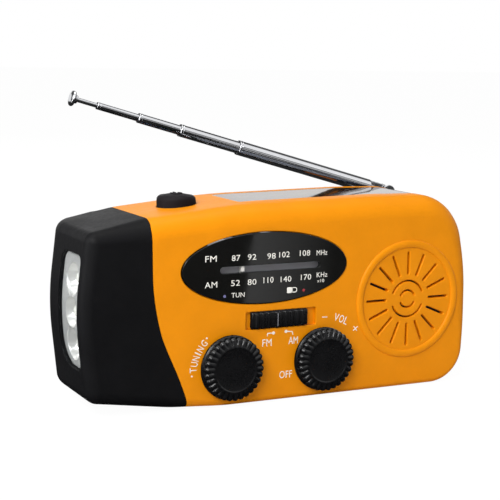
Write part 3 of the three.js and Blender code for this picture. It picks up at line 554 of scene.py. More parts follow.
def edge_ring(inset, t, side):
    """Ring on the rounded edge: t is 0 at the side wall and a quarter turn at the face.

    side is -1 for the front and 1 for the rear.
    """
    half_depth = HALF_DEPTH - inset
    radii = np.maximum(EDGE_RADII[:, 0 if side < 0 else 1] - inset, 0.3)
    points, arcs = [], {}

    def at(i, k, distance):
        key = (i, round(distance, 6))
        if key not in arcs:
            arcs[key] = corner(i, distance)
        return arcs[key][k]
    for (i, k, j, f), r in zip(STATIONS, radii):
        distance = inset + r * (1 - cos(t))
        q = at(i, k, distance)
        if f:
            q = q + (at(j, 0, distance) - q) * f
        points.append((q[0], side * (half_depth - r * (1 - sin(t))), q[1]))
    return np.array(points)


def round_lamp_end(points, inset):
    """Draws the lamp end towards +X as it nears the rear face."""
    r = END_RADIUS - inset
    y = np.clip(points[:, 1] - (HALF_DEPTH - END_RADIUS), 0, r)
    sag = r - np.sqrt(np.maximum(r * r - y * y, 0))
    t = np.clip((-points[:, 0] - 40) / 24, 0, 1)
    points = points.copy()
    points[:, 0] += sag * t * t * (3 - 2 * t)
    return points


def case_rings(inset, steps=9):
    rings = [edge_ring(inset, QUARTER * (1 - k / steps), -1) for k in range(steps + 1)]
    wall = edge_ring(inset, 0, 1)
    y0 = HALF_DEPTH - END_RADIUS
    for y in np.linspace(y0, y0 + 7, 7):
        ring = wall.copy()
        ring[:, 1] = np.minimum(y, ring[:, 1] - 0.3 + 0.02 * (y - 12.3))
        rings.append(ring)
    rings += [edge_ring(inset, QUARTER * k / steps, 1) for k in range(steps + 1)]
    return [round_lamp_end(ring, inset) for ring in rings]


def case_body(inset):
    return loft(case_rings(inset))


def hollow_case():
    outer = case_body(0)
    inner = loft(case_rings(WALL, 5))
    with editing(inner.data) as bm:
        bmesh.ops.reverse_faces(bm, faces=bm.faces)
    return merge(outer, inner)


def lamp_region(shift):
    """Everything on the lamp side of the seam, which is a Catmull-Rom curve."""
    seam = [np.array((x + shift, z), float) for x, z in SEAM]
    last = len(seam) - 1
    curve = []
    for i in range(last):
        p0, p1, p2, p3 = (seam[max(0, min(last, k))] for k in (i - 1, i, i + 1, i + 2))
        for s in np.linspace(0, 1, 6)[:-1]:
            curve.append(0.5 * ((2 * p1) + (-p0 + p2) * s + (2 * p0 - 5 * p1 + 4 * p2 - p3) * s * s
                                + (-p0 + 3 * p1 - 3 * p2 + p3) * s ** 3))
    outline = [(-200, -6), *curve, seam[-1], (-200, 64)]
    return loft([place(outline, y) for y in (-60, 60)])


def rebate_tool():
    """Step along the top rear edge."""
    outline = rounded([(30, 53.0), (12.7, 53.0, 0.9), (12.7, 70), (30, 70)])
    return loft([place(outline, x, 'X') for x in (-80, 80)])


# ---------------------------------------------------------------- split of the case
shell = hollow_case()
blocks = union(box(-64, 64, 11.5, 21, 51.4, 60), box(45, 64, 9.8, 21, 45, 60))
shell = union(shell, both(blocks, case_body(0)))
for tool in (rebate_tool(), cylinder(2.4, 40, 53.1, MAST_X, MAST_Y, 32, 'Z'),
             cylinder(4.2, 53.0, 70, MAST_X, MAST_Y, 40, 'Z')):
    cut(shell, tool)
housing = both(copy_of(shell), lamp_region(0))
cut(shell, lamp_region(0.15))


def shell_between(y0, y1):
    return both(copy_of(shell), box(-90, 90, y0, y1, -10, 80))


front = shell_between(-30, SPLIT_Y - SPLIT_GAP)
rear = shell_between(SPLIT_Y + SPLIT_GAP, 30)
discard(shell)


def panel_outline(inset, radius):
    return round_rect(PANEL_X0 + inset, PANEL_X1 - inset, PANEL_Y0 + inset, PANEL_Y1 - inset,
                      radius)


# openings in the top shared by both shells: panel seat, panel opening, button hole
top_tools = (cut(prism(panel_outline(0, 1.2), 50, 64, axis='Z'), case_body(1.35)),
             prism(panel_outline(1.5, 0.8), 48, 60, axis='Z'),
             lathe([(5.9, 44), (5.9, 56.2), (5.9, 64)], BUTTON_X, 0, 64, 'Z'))
for part in (front, rear):
    for tool in top_tools:
        cut(part, tool, True)
for tool in top_tools:
    discard(tool)

# ---------------------------------------------------------------- front shell
GRILLE_FLARE = 0.36
FRONT_FACE, FRONT_OUT, FRONT_IN = -HALF_DEPTH, -25, -14    # y of face and of cutter ends


def front_slot(points, flare, h_in=FRONT_IN):
    return flared(points, h_in, flare, FRONT_FACE, FRONT_OUT)


def grille_ring():
    """Raised round moulding standing on the front face around the grille."""
    r, half_width, height = 16.75, 1.15, 0.58
    foot = FRONT_FACE + 0.6
    profile = [(r - half_width, foot)]
    profile += [(r - half_width * cos(t), FRONT_FACE - height * sin(t))
                for t in np.linspace(0, pi, 13)]
    profile += [(r + half_width, foot)]
    return lathe(profile, GRILLE_X, GRILLE_Z, 144, loop=True)


def arc_slot(r, start, end, half_width=0.25, n=26, cap=5):
    """Curved grille slot with round ends, from start to end in degrees."""
    turn = np.radians(np.linspace(start, end, n + 1))
    cap_turn = pi * np.arange(1, cap) / cap
    rings = []
    for y, growth in mouth(FRONT_IN, GRILLE_FLARE, FRONT_FACE, FRONT_OUT):
        w = half_width + growth
        ends = [(GRILLE_X + r * cos(t), GRILLE_Z + r * sin(t)) for t in (turn[-1], turn[0])]
        outline = np.vstack([arc(GRILLE_X, GRILLE_Z, r + w, turn),
                             arc(*ends[0], w, turn[-1] + cap_turn),
                             arc(GRILLE_X, GRILLE_Z, r - w, turn[::-1]),
                             arc(*ends[1], w, turn[0] + pi + cap_turn)])
        rings.append(place(ccw(outline), y))
    return loft(rings)


def dial_ring(y, extra_a, extra_b, n=120):
    """Ellipse of the dial with each half axis lengthened."""
    t = 2 * pi * np.arange(n) / n
    return place(np.c_[DIAL_X + (DIAL_A + extra_a) * np.cos(t),
                       DIAL_Z + (DIAL_B + extra_b) * np.sin(t)], y)


def front_cutters():
    tools = []
    for k in range(16):
        a = QUARTER + k * pi / 8
        c, s = cos(a), sin(a)
        spoke = stadium(GRILLE_X + c * 7.8, GRILLE_Z + s * 7.8,
                        GRILLE_X + c * 14.0, GRILLE_Z + s * 14.0, 0.34, 6)
        tools.append(front_slot(spoke, GRILLE_FLARE))
    for r, shorten in ((5.5, 0), (2.6, 4)):
        for a in (22, 202):
            tools.append(arc_slot(r, a + shorten, a + 136 - shorten))
    tools.append(front_slot(round_rect(SLOT_X0, SLOT_X1, SLOT_Z0, SLOT_Z1, 0.45), 0.16, -18.2))
    # dial recess with an inner ledge
    seat = mouth(-18.3, 0.35, FRONT_FACE, FRONT_OUT, count=6)
    tools.append(loft([dial_ring(y, -1.3, -1.2) for y in (FRONT_IN, seat[0][0])]
                      + [dial_ring(y, growth, growth) for y, growth in seat]))
    tools += [cylinder(2.8, FRONT_OUT, -15, x, KNOB_Z, 32) for x in (TUNING_X, VOLUME_X)]
    tools.append(box(-7.6, 0.4, -19, -14, 22.5, 25.9))
    return merge(*tools)


union(front, merge(*[cylinder(2.6, -18.4, SPLIT_Y - SPLIT_GAP, x, z, 20) for x, z in SCREWS]))
union(front, grille_ring())
cut(front, front_cutters())
cut(front, merge(*[cylinder(1.35, -12, 5, x, z, 12) for x, z in SCREWS]))
finish(front, "front_case", "housing", "orange", "front_shell")

# ---------------------------------------------------------------- rear shell
WELL_X = 36          # round well for the folded crank grip
solid_case = case_body(0)
bosses = [cylinder(11, 10.8, 19, CRANK_X, CRANK_Z, 64), cylinder(8.4, 1.8, 19, WELL_X, CRANK_Z, 56),
          cylinder(2.4, 10.5, 18, *HATCH_SCREW, 24)]
bosses += [cylinder(3.5, SPLIT_Y + SPLIT_GAP, 18, x, z, 28) for x, z in SCREWS]
bosses += [box(CRANK_X, 47.5, 14.2, 19, CRANK_Z - 6.9, CRANK_Z + 6.9),
           box(58.6, 64, 0.2, 14.2, 12, 40.6)]
for boss in bosses:
    union(rear, both(boss, solid_case, True))
discard(solid_case)
for tool in (
        rebate_tool(),
        flared(circle(CRANK_X, CRANK_Z, 9.6, 72), 12.3, 0.5),                  # crank turntable
        cylinder(2.8, 5, 15, CRANK_X, CRANK_Z, 32),
        flared(stadium(CRANK_X, CRANK_Z, 39.5, CRANK_Z, 5.1, 14), 15.7, 0.5),  # arm trough
        cylinder(6.9, 3.0, 25, WELL_X, CRANK_Z, 56),
        flared(round_rect(-36.5, -13.5, 14, 46, 2), 17.6, 0.3),                # hatch seat
        box(-35, -15, 15, 25, 19, 44.5),
        merge(cylinder(1.15, 11.5, 25, *HATCH_SCREW, 16),
              *[flared(circle(x, z, 2.6, 32), 7, 0.3) for x, z in SCREWS]),
        merge(*[cylinder(1.5, -3, 10, x, z, 16) for x, z in SCREWS]),
        prism(round_rect(1.0, 12.7, 13.4, 39.2, 1.3), 60.3, 70, axis='X'),     # port flap seat
        merge(box(58, 70, 3.8, 9.9, 14.3, 27.8), box(55, 70, 5.3, 8.5, 28.9, 37.0))):
    cut(rear, tool)
finish(rear, "rear_case", "housing", "orange", "rear_shell")

# ---------------------------------------------------------------- lamp end
LAMP_Y = -7.6
LAMPS = [(19.2, -62.2), (28.4, -63.2), (37.6, -62.35)]    # z, x of the dish rim


def lens_block(inset, x0, x1):
    """Lens opening outline (y, z) extruded along X."""
    radii = [7.5 - inset, 3.5 - inset, 2.5 - inset, 3.0 - inset]
    outline = round_rect(-15.5 + inset, 0.4 - inset, 12.8 + inset, 45 - inset, radii, 8)
    return prism(outline, x0, x1, axis='X')


def dish(z, x):
    """Cutter for one dish with a turned-out lip."""
    profile = [(5.0, x - 3), (5.0, x - 0.1), (4.75, x + 0.02), (4.55, x + 0.2)]
    profile += [(2.6 + 1.9 * sqrt(q), x + 0.3 + (1 - q) * 3.4) for q in np.linspace(1, 0, 12)]
    return lathe(profile + [(2.6, -54)], LAMP_Y, z, 64, 'X')


def led(z, x):
    r, top = 2.4, x + 1.0
    profile = [(r * sin(t), top + r * (1 - cos(t))) for t in np.linspace(0.02, QUARTER, 12)]
    profile += [(r, -54.8), (2.55, -54.7), (2.55, -53.7), (0.05, -53.7)]
    return lathe(profile, LAMP_Y, z, 40, 'X')


cut(housing, lens_block(0, -90, -55))
finish(housing, "lamp_housing_case", "housing", "black", "lamp_housing")
lens = both(lens_block(0.2, -80, -56), case_body(0.1))
cut(lens, case_body(1.0))
finish(lens, "lamp_window", "housing", "clear", "lamp_lens")
# the tray fills the opening just behind the lens
tray = both(lens_block(0.3, -80, -55), case_body(1.15))
cut(tray, merge(*[dish(z, x) for z, x in LAMPS]))
finish(tray, "lamp_reflector_tray", "housing", "mirror", "lamp_reflector")
for i, (z, x) in enumerate(LAMPS, 1):
    finish(led(z, x), "lamp_led_%d" % i, "housing", "led", "led_%d" % i)


# ---------------------------------------------------------------- top: button, solar pane
def lamp_button():
    profile = [
        (0.05, 52.0), (6.6, 52.0, 0.2), (6.6, 52.8, 0.2), (5.55, 52.8), (5.7, 57.0),
        (5.6, 58.1, 0.9), (4.75, 58.75, 0.5), (4.35, 58.5, 0.3), (3.9, 58.8, 0.4),
        (2.0, 59.2, 3), (0.05, 59.3)]
    button = lathe(rounded(profile, 6), BUTTON_X, 0, 72, 'Z')
    # raised mark: an open ring and a bar in its gap
    turn = np.radians(np.linspace(130, 410, 40))
    ring = np.vstack([arc(BUTTON_X, 0, 1.75, turn), arc(BUTTON_X, 0, 1.35, turn[::-1])])
    union(button, prism(ring, 58.9, 59.42, axis='Z'))
    stroke = round_rect(BUTTON_X - 0.2, BUTTON_X + 0.2, 0.5, 2.3, 0.15, 3)
    union(button, prism(stroke, 58.85, 59.45, axis='Z'))
    finish(button, "lamp_push_button", "button", "button", "lamp_button")


lamp_button()
pane = both(prism(panel_outline(0.2, 1.05), 50, 64, axis='Z'), case_body(0.12))
cut(pane, case_body(1.2))
finish(pane, "solar_pane", "housing", "pane", "solar_window")


# ---------------------------------------------------------------- dial window
def dial_window():
    gap, rim, rim_y = 0.2, 0.16, -19.44
    rings = [dial_ring(y, -gap, -gap) for y in (-18.35, rim_y)]
    for t in np.linspace(0.15, QUARTER, 5):
        extra = -gap - rim * (1 - cos(t))
        rings.append(dial_ring(rim_y - rim * sin(t), extra, extra))
    dial = loft(rings)
    cut(dial, flared(stadium(-22.4, DIAL_Z, 7.7, DIAL_Z, 0.97, 12), -15, 0.12, -19.6, -22))
    finish(dial, "dial_window", "housing", "dial", "dial_lens")


dial_window()


# ---------------------------------------------------------------- knobs
def knob(x, name, body, node, phase):
    """Knob with a lobed rim; profile points are (radius, y, corner radius)."""
    lobes, lobe_steps, lobe_depth = 30, 12, 0.56
    stem = rounded([(2.5, -6.9), (2.5, -19.6), (9.1, -19.6, 0.1), (9.35, -19.85, 0.15),
                    (9.35, -20.62, 0.25), (8.95, -20.86, 0.1), (8.9, -21.0)], 4)
    side = rounded([(8.9, -21.0), (9.25, -21.25, 0.2), (9.22, -22.55, 0.6),
                    (8.55, -23.2, 0.55), (6.45, -23.58)], 6)
    fine = [side[0]]
    for a, b in zip(side, side[1:]):
        m = max(1, int(hypot(b[0] - a[0], b[1] - a[1]) / 0.35))
        fine += [(a[0] + (b[0] - a[0]) * q / m, a[1] + (b[1] - a[1]) * q / m)
                 for q in range(1, m + 1)]
    run = np.cumsum([hypot(b[0] - a[0], b[1] - a[1]) for a, b in zip(fine, fine[1:])])
    run = run / run[-1]
    stations = [(r, y, 0.0) for r, y in stem]    # radius, y, lobe depth
    for (r, y), q in zip(fine[1:], run):
        fade = min(1, q / 0.10) * min(1, max(0, 0.985 - q) / 0.36) ** 0.9
        stations.append((r, y, lobe_depth * fade))
    stations += [(r, y, 0.0) for r, y in ((6.3, -23.56), (6.2, -23.46), (6.05, -23.44),
                                          (3.0, -23.44), (0.03, -23.44))]
    count = lobes * lobe_steps
    turn = phase + 2 * pi * np.arange(count) / count
    lobe = np.abs(np.sin((turn - phase) * lobes / 2)) ** 0.7
    tangents = np.gradient(np.array([s[:2] for s in stations]), axis=0)
    tangents /= np.maximum(np.linalg.norm(tangents, axis=1), 1e-9)[:, None]
    rings = []
    for (r, y, depth), (tangent_r, tangent_y) in zip(stations, tangents):
        normal_r, normal_y = -tangent_y, tangent_r
        if normal_r < 0:    # point outwards
            normal_r, normal_y = -normal_r, -normal_y
        push = -depth * (1 - lobe)
        radius = r + push * normal_r
        rings.append(np.c_[x + radius * np.cos(turn), y + push * normal_y,
                           KNOB_Z + radius * np.sin(turn)])
    finish(loft(rings), name, body, "knob", node, angle=50)


knob(TUNING_X, "tuning_knob_cap", "tuning", "tuning_knob", phase=0.05)
knob(VOLUME_X, "volume_knob_cap", "volume", "volume_knob", phase=0.11)


# ---------------------------------------------------------------- band slider
def band_slider():
    back_y, top_y = -18.4, -19.8

    def rib(x, foot, crest, crest_y, foot_r, crest_r):
        return [(x - foot, top_y, foot_r), (x - crest, crest_y, crest_r),
                (x + crest, crest_y, crest_r), (x + foot, top_y, foot_r)]
    profile = [(SLIDER_X0, back_y), (SLIDER_X0, top_y, 0.3)]
    for k in range(9):
        x = SLIDER_X0 + 1.6 + 1.85 * k
        if abs(x - INDEX_X) < 0.9:    # the index ridge stands in for one rib
            profile += rib(INDEX_X, 0.65, 0.32, -20.36, 0.15, 0.12)
        else:
            profile += rib(x, 0.62, 0.3, -20.26, 0.18, 0.2)
    profile += [(SLIDER_X1, top_y, 0.3), (SLIDER_X1, back_y)]
    profile = ccw(rounded(profile, 4))
    z0, z1 = SLOT_Z0 + 0.3, SLOT_Z1 - 0.3
    rings = []
    # z and how far the ribbed side is lowered there, so that the ends round off
    for z, drop in ((z0, 0.42), (z0 + 0.12, 0.17), (z0 + 0.4, 0.0),
                    (z1 - 0.4, 0.0), (z1 - 0.12, 0.17), (z1, 0.42)):
        q = profile.copy()
        q[:, 1] = np.where(q[:, 1] < -19.5, np.minimum(q[:, 1] + drop, -19.4), q[:, 1])
        rings.append(place(q, z, 'Z'))
    slider = loft(rings)
    union(slider, box(-6, -2, -18.5, -16.7, 22.8, 25.6))
    finish(slider, "band_slider_cap", "band", "knob", "band_slider")
    line = round_rect(INDEX_X - 0.09, INDEX_X + 0.09, SLOT_Z0 + 0.75, SLOT_Z1 - 0.75, 0.08, 3)
    finish(prism(line, -20.40, -20.3, 0.03), "band_index_line", "band", "index")


band_slider()

# ---------------------------------------------------------------- printed marks
DIAL_INK_Y, CASE_INK_Y, INK_HALF = -19.61, -19.31, 0.03
# text, height, width, x, z
DIAL_TEXT = [
    ("FM", 1.7, 3.5, -26.28, 42.82), ("87", 1.65, 2.6, -18.56, 42.68),
    ("92", 1.65, 2.7, -13.54, 42.69), ("98", 1.65, 2.7, -7.35, 42.64),
    ("102", 1.65, 3.4, -3.17, 42.85), ("108", 1.65, 3.4, 3.5, 42.93),
    ("MHz", 1.45, 3.55, 9.12, 42.78), ("AM", 1.7, 3.8, -26.18, 35.48),
    ("52", 1.65, 2.8, -18.59, 35.56), ("80", 1.65, 2.75, -13.4, 35.52),
    ("110", 1.65, 3.2, -8.16, 35.77), ("140", 1.65, 3.45, -2.52, 35.71),
    ("170", 1.65, 3.35, 4.02, 35.89), ("KHz", 1.45, 3.5, 9.31, 36.31),
    ("x10", 0.95, 2.3, 8.9, 34.54), ("TUN", 1.35, 4.1, -17.75, 32.08)]
CASE_TEXT = [("FM", 2.1, 2.95, -8.1, 17.47), ("AM", 2.1, 3.05, 0.45, 17.49),
             ("OFF", 2.15, 4.1, -1.8, 7.59)]
# letter, width, x, z
TUNING_LETTERS = [("T", 1.35, -31.2, 11.45), ("U", 1.3, -30.85, 13.15), ("N", 1.3, -30.4, 14.75),
                  ("I", 0.35, -29.8, 16.1), ("N", 1.3, -29.05, 17.35), ("G", 1.35, -27.9, 18.9)]
# letter, width, x, z, turn in degrees
VOLUME_LETTERS = [("V", 1.5, 14.75, 23.2, -18), ("O", 1.5, 16.5, 22.6, -22),
                  ("L", 1.15, 18.05, 21.9, -26)]


def text_mark(text, height, width, x, z, y, turn=0.0):
    """Text fitted to a height and width, centred at (x, z), turned in degrees."""
    extrude, thickness = 0.02, 0.05
    curve = bpy.data.curves.new("t", 'FONT')
    curve.body = text
    curve.size = 1.0
    curve.align_x = 'CENTER'
    curve.resolution_u = 3
    curve.extrude = extrude
    curve.space_character = 1.05
    source = link(curve)
    bpy.context.view_layer.update()
    depsgraph = bpy.context.evaluated_depsgraph_get()
    mesh = bpy.data.meshes.new_from_object(source.evaluated_get(depsgraph))
    discard(source)
    co = np.array([v.co[:] for v in mesh.vertices])
    low, high = co.min(0), co.max(0)
    for k, size in ((0, width), (1, height)):
        co[:, k] = (co[:, k] - (low[k] + high[k]) / 2) * (size / (high[k] - low[k]))
    c, s = cos(radians(turn)), sin(radians(turn))
    co = np.c_[x + co[:, 0] * c - co[:, 1] * s, y - (co[:, 2] / extrude) * thickness / 2,
               z + co[:, 0] * s + co[:, 1] * c]
    bm = bmesh.new()
    verts = [bm.verts.new(v) for v in co]
    for face in mesh.polygons:
        try:
            bm.faces.new([verts[i] for i in face.vertices])
        except ValueError:    # the font fill may repeat a face
            pass
    bmesh.ops.remove_doubles(bm, verts=bm.verts, dist=1e-4)
    bmesh.ops.recalc_face_normals(bm, faces=bm.faces)
    return from_bmesh(bm)


def flat_mark(outline, y):
    return prism(outline, y - INK_HALF, y + INK_HALF)


def bar(x0, z0, x1, z1, width, y):
    return flat_mark(stadium(x0, z0, x1, z1, width / 2, 5), y)


def dot(x, z, r, y=CASE_INK_Y):
    return flat_mark(circle(x, z, r, 24), y)


def dial_marks():
    marks = [text_mark(*row, DIAL_INK_Y) for row in DIAL_TEXT]
    marks.append(flat_mark(round_rect(-2.12, -0.5, 31.55, 33.25, 0.3, 4), DIAL_INK_Y))
    # hollow frame beside the filled block
    outer = ccw(round_rect(-0.55, 1.18, 31.62, 33.18, [0.7, 0.7, 0.05, 0.05], 6))
    inner = grow(outer, -0.24)
    y0, y1 = DIAL_INK_Y - INK_HALF, DIAL_INK_Y + INK_HALF
    marks.append(loft([place(outer, y0), place(outer, y1), place(inner, y1), place(inner, y0)],
                      loop=True))
    return merge(*marks)


def case_marks():
    y = CASE_INK_Y
    over, under = y - 0.001, y + 0.001    # keeps crossing strokes from sharing a plane
    marks = [text_mark(*row, y) for row in CASE_TEXT]
    marks += [dot(-6.05, 20.16, 0.46), bar(-7.95, 20.2, -6.2, 20.16, 0.28, over),
              bar(-8.0, 19.45, -7.95, 20.15, 0.28, under),
              dot(-1.98, 20.3, 0.46), bar(-1.8, 20.3, 0.0, 20.12, 0.28, over),
              bar(0.02, 20.1, 0.28, 19.25, 0.28, under),
              bar(9.95, 23.6, 11.5, 23.55, 0.26, y)]
    for letter, width, x, z in TUNING_LETTERS:
        turn = degrees(atan2(z - KNOB_Z, x - TUNING_X)) - 90
        marks.append(text_mark(letter, 2.1, width, x, z, y, turn))
    marks += [dot(-31.6, 9.8, 0.27), dot(-27.1, 20.3, 0.27)]
    for letter, width, x, z, turn in VOLUME_LETTERS:
        marks.append(text_mark(letter, 2.25, width, x, z, y, turn))
    x, z, reach = 21.3, 19.3, 0.85    # plus sign
    for a, level in ((38, y), (128, under)):
        c, s = reach * cos(radians(a)), reach * sin(radians(a))
        marks.append(bar(x - c, z - s, x + c, z + s, 0.26, level))
    return merge(*marks)


def print_on(mark, name, look):
    finish(mark, name, "housing", look, weighted=False)


print_on(dial_marks(), "dial_print", "ink")
print_on(dot(-21.92, 31.95, 0.42, DIAL_INK_Y), "stereo_dot", "ink_blue")
print_on(dot(3.33, 32.1, 0.42, DIAL_INK_Y), "charge_dot", "ink_red")
print_on(case_marks(), "case_print", "ink")

# ---------------------------------------------------------------- antenna
# end along the mast, length, outer diameter
TUBES = [(55.7, 50, 4.6), (75.9, 48, 3.8), (89.7, 46, 3.0), (103.0, 44, 2.2), (111.1, 42, 1.4)]
PIN_HOLE_R = 0.95
MAST_POSE = (Matrix.Translation((MAST_X, MAST_Y, MAST_Z))
             @ Matrix.Rotation(-radians(90 - MAST_ELEVATION), 4, 'Y'))


def mast_tube(i, end, length, diameter):
    """Tube i along its own Z, with the mast's pivot at the origin."""
    ro = diameter / 2
    ri = ro - 0.2
    start = end - length
    if i == 4:
        return lathe(rounded([(ro - 0.12, start), (ro, start + 0.12, 0.05), (ro, end - 1.9)], 3),
                     n=40, axis='Z')
    lip = rounded([(ro, end - 0.95), (ro - 0.12, end - 0.88, 0.04), (ro - 0.12, end - 0.78, 0.04),
                   (ro, end - 0.70, 0.05), (ro, end - 0.12, 0.12), (ri + 0.04, end, 0.06),
                   (ri, end - 0.1)], 4)
    if i:
        foot = rounded([(ro - 0.15, start), (ro, start + 0.15, 0.05), (ro, start + 1.0)], 3)
        return lathe(foot + lip + [(ri, start + 1.5)], n=44, axis='Z')
    foot = rounded([(1.35, 4.8), (1.6, 4.8, 0.2), (ro, 6.9, 0.6), (ro, 9.0)], 6)
    tube = lathe(foot + lip + [(ri, 8.0)], axis='Z')
    union(tube, prism(stadium(0, 0, 0, 6.4, 2.0, 14), -1.35, 1.35, 0.25, 0.25))
    return cut(tube, cylinder(PIN_HOLE_R, -5, 5, 0, 0, 32))


def mast_tip():
    e = TUBES[-1][0]
    profile = [
        (0.5, e - 1.86), (1.2, e - 1.86, 0.15), (1.3, e - 1.4, 0.15), (1.0, e - 1.25, 0.1),
        (1.05, e - 1.05, 0.1), (2.2, e - 0.85, 0.2), (2.34, e - 0.45, 0.2),
        (2.2, e - 0.05, 0.25), (1.2, e + 0.3, 0.6), (0.03, e + 0.34)]
    return lathe(rounded(profile, 6), axis='Z')


def mast_fork():
    profile = [(0.05, 46), (1.4, 46, 0.15), (1.4, 53.15), (3.3, 53.15, 0.08),
               (3.3, 53.55, 0.15), (0.05, 53.55)]
    fork = lathe(rounded(profile, 4), MAST_X, MAST_Y, 48, 'Z')
    lug = [(x, z) for x, z in stadium(MAST_X, 53.35, MAST_X, MAST_Z, 2.25, 16) if z > 53.34]
    for y0, y1 in ((MAST_Y - 2.9, MAST_Y - 1.65), (MAST_Y + 1.65, MAST_Y + 2.9)):
        union(fork, prism(lug, y0, y1, 0.12, 0.12))
    return cut(fork, cylinder(PIN_HOLE_R, 0, 30, MAST_X, MAST_Z, 32))


def mast_pin():
    y0, y1 = MAST_Y - 3.05, MAST_Y + 3.05
    profile = [(0.03, y0), (0.8, y0, 0.25), (0.8, y1, 0.25), (0.03, y1)]
    return lathe(rounded(profile, 4), MAST_X, MAST_Z, 28)


for i, tube in enumerate(TUBES):
    finish(mast_tube(i, *tube), "antenna_section_%d" % (i + 1), "mast_%d" % (i + 1),
           "chrome", "antenna_tube_%d" % (i + 1), pose=MAST_POSE)
finish(mast_tip(), "antenna_tip_button", "mast_5", "chrome", "antenna_tip",
       pose=MAST_POSE)
finish(mast_fork(), "antenna_fork", "swivel", "chrome", "antenna_swivel")
finish(mast_pin(), "antenna_pivot_pin", "swivel", "steel", "antenna_hinge_pin")

# ---------------------------------------------------------------- crank
GRIP_X = HINGE_X - ARM
ARM_Y0, ARM_Y1 = HINGE_Y + 0.4, HINGE_Y + 3.6
GRIP_Y0, GRIP_Y1 = ARM_Y1 + 0.3, ARM_Y1 + 12.5


def hinge_hole():
    return cylinder(1.0, CRANK_Z - 8, CRANK_Z + 8, HINGE_X, HINGE_Y, 28, 'Z')


def crank_turntable():
    profile = [(0.05, 8.1), (2.45, 8.1), (2.45, 12.6), (9.2, 12.6, 0.15), (9.2, 15.4, 0.5),
               (7.0, 15.4, 0.3), (6.7, 15.1, 0.2), (3.4, 15.1), (0.05, 15.1)]
    hub = lathe(rounded(profile), CRANK_X, CRANK_Z, 72)
    lug = [(x, y) for x, y in stadium(HINGE_X, HINGE_Y, HINGE_X, 13.8, 2.4, 14) if y > 13.2]
    for z0, z1 in ((CRANK_Z - 5.3, CRANK_Z - 2.8), (CRANK_Z + 2.8, CRANK_Z + 5.3)):
        union(hub, prism(lug, z0, z1, 0.25, 0.25, 'Z'))
    return cut(hub, hinge_hole())


def crank_lever():
    z0, z1 = CRANK_Z - 2.5, CRANK_Z + 2.5
    floor_y = ARM_Y1 - 0.9    # bottom of the long recess
    arm = prism(round_rect(GRIP_X - 4.5, HINGE_X - 3.0, CRANK_Z - 4.5, CRANK_Z + 4.5,
                           [0.6, 0.6, 4.4, 4.4], 12), ARM_Y0, ARM_Y1, 0.5, 0.7)
    recess = round_rect(GRIP_X + 7.5, HINGE_X - 8.5, CRANK_Z - 2.6, CRANK_Z + 2.6, 2.0, 8)
    cut(arm, flared(recess, floor_y, 0.25, ARM_Y1, ARM_Y1 + 3))
    union(arm, prism(round_rect(HINGE_X - 4.5, HINGE_X, z0, z1, 0.3), ARM_Y0, floor_y, 0, 0.2))
    barrel = rounded([(0.05, z0), (2.3, z0, 0.2), (2.3, z1, 0.2), (0.05, z1)])
    union(arm, lathe(barrel, HINGE_X, HINGE_Y, 40, 'Z'))
    cut(arm, hinge_hole())
    step = ARM_Y0 + 1.1
    return cut(arm, lathe([(2.7, 10), (2.7, step), (1.6, step), (1.6, 60)], GRIP_X, CRANK_Z, 36))


def crank_grip():
    profile = [(0.05, GRIP_Y0), (4.3, GRIP_Y0, 0.3), (5.55, ARM_Y1 + 1.4, 0.8)]
    for k in range(4):    # shallow grip grooves
        y = ARM_Y1 + 3.0 + k * 2.0
        profile += [(5.6, y - 0.45, 0.2), (5.25, y, 0.3), (5.6, y + 0.45, 0.2)]
    profile += [(5.6, GRIP_Y1 - 1.8, 1.2), (4.1, GRIP_Y1, 0.8), (0.05, GRIP_Y1)]
    grip = lathe(rounded(profile), GRIP_X, CRANK_Z, 56)
    return cut(grip, cylinder(1.65, 0, GRIP_Y1 - 0.9, GRIP_X, CRANK_Z, 28))


finish(crank_turntable(), "crank_turntable", "crank", "black", "crank_hub")
finish(crank_lever(), "crank_lever", "arm", "black", "crank_arm")
finish(crank_grip(), "crank_handle_grip", "handle", "knob", "crank_knob")


# ---------------------------------------------------------------- hatch, screws, port flap
def battery_hatch():
    face = 19.2
    door = prism(round_rect(-36.35, -13.65, 14.15, 45.85, 1.9, 8), 17.7, face, 0, 0.35)
    screw_hole = lathe([(1.2, 15), (1.2, 18.31), (2.2, 18.31), (2.2, 25)], *HATCH_SCREW, 36)
    cut(door, merge(screw_hole,
                    flared(stadium(-27.8, 41.8, -22.2, 41.8, 1.6, 12), 18.55, 0.25, face)))
    cut(door, merge(*[flared(stadium(-31, z, -19, z, 0.22, 5), 18.95, 0.12, face)
                      for z in (35.4, 36.9, 38.4)]))
    finish(door, "battery_hatch", "housing", "orange", "battery_door")


def screw(x, z, head_y, tip_y, head_r, shank_r, name, node):
    """Screw along Y with a cross recess in its head."""
    profile = [(0.05, tip_y), (shank_r * 0.5, tip_y, 0.1), (shank_r, tip_y + 1.2, 0.1),
               (shank_r, head_y - 1.2), (head_r, head_y - 1.2, 0.1),
               (head_r, head_y - 0.25, 0.25), (head_r * 0.75, head_y, 0.3), (0.05, head_y)]
    part = lathe(rounded(profile, 4), x, z, 36)
    long, thin, y0, y1 = head_r * 0.62, 0.24, head_y - 0.6, head_y + 1
    cut(part, union(box(x - long, x + long, y0, y1, z - thin, z + thin),
                    box(x - thin, x + thin, y0, y1, z - long, z + long)))
    finish(part, name, "housing", "steel", node)


def port_flap():
    flap = both(prism(round_rect(1.3, 12.3, 13.8, 38.8, 1.2, 6), 60.6, 70, axis='X'),
                case_body(0.05))
    cut(flap, merge(*[prism(stadium(3.4, z, 6.6, z, 0.2, 4), 61.75, 70, axis='X')
                      for z in (24.3, 25.3, 26.3, 27.3, 28.3)]))
    finish(flap, "port_flap", "cover", "rubber", "port_cover")


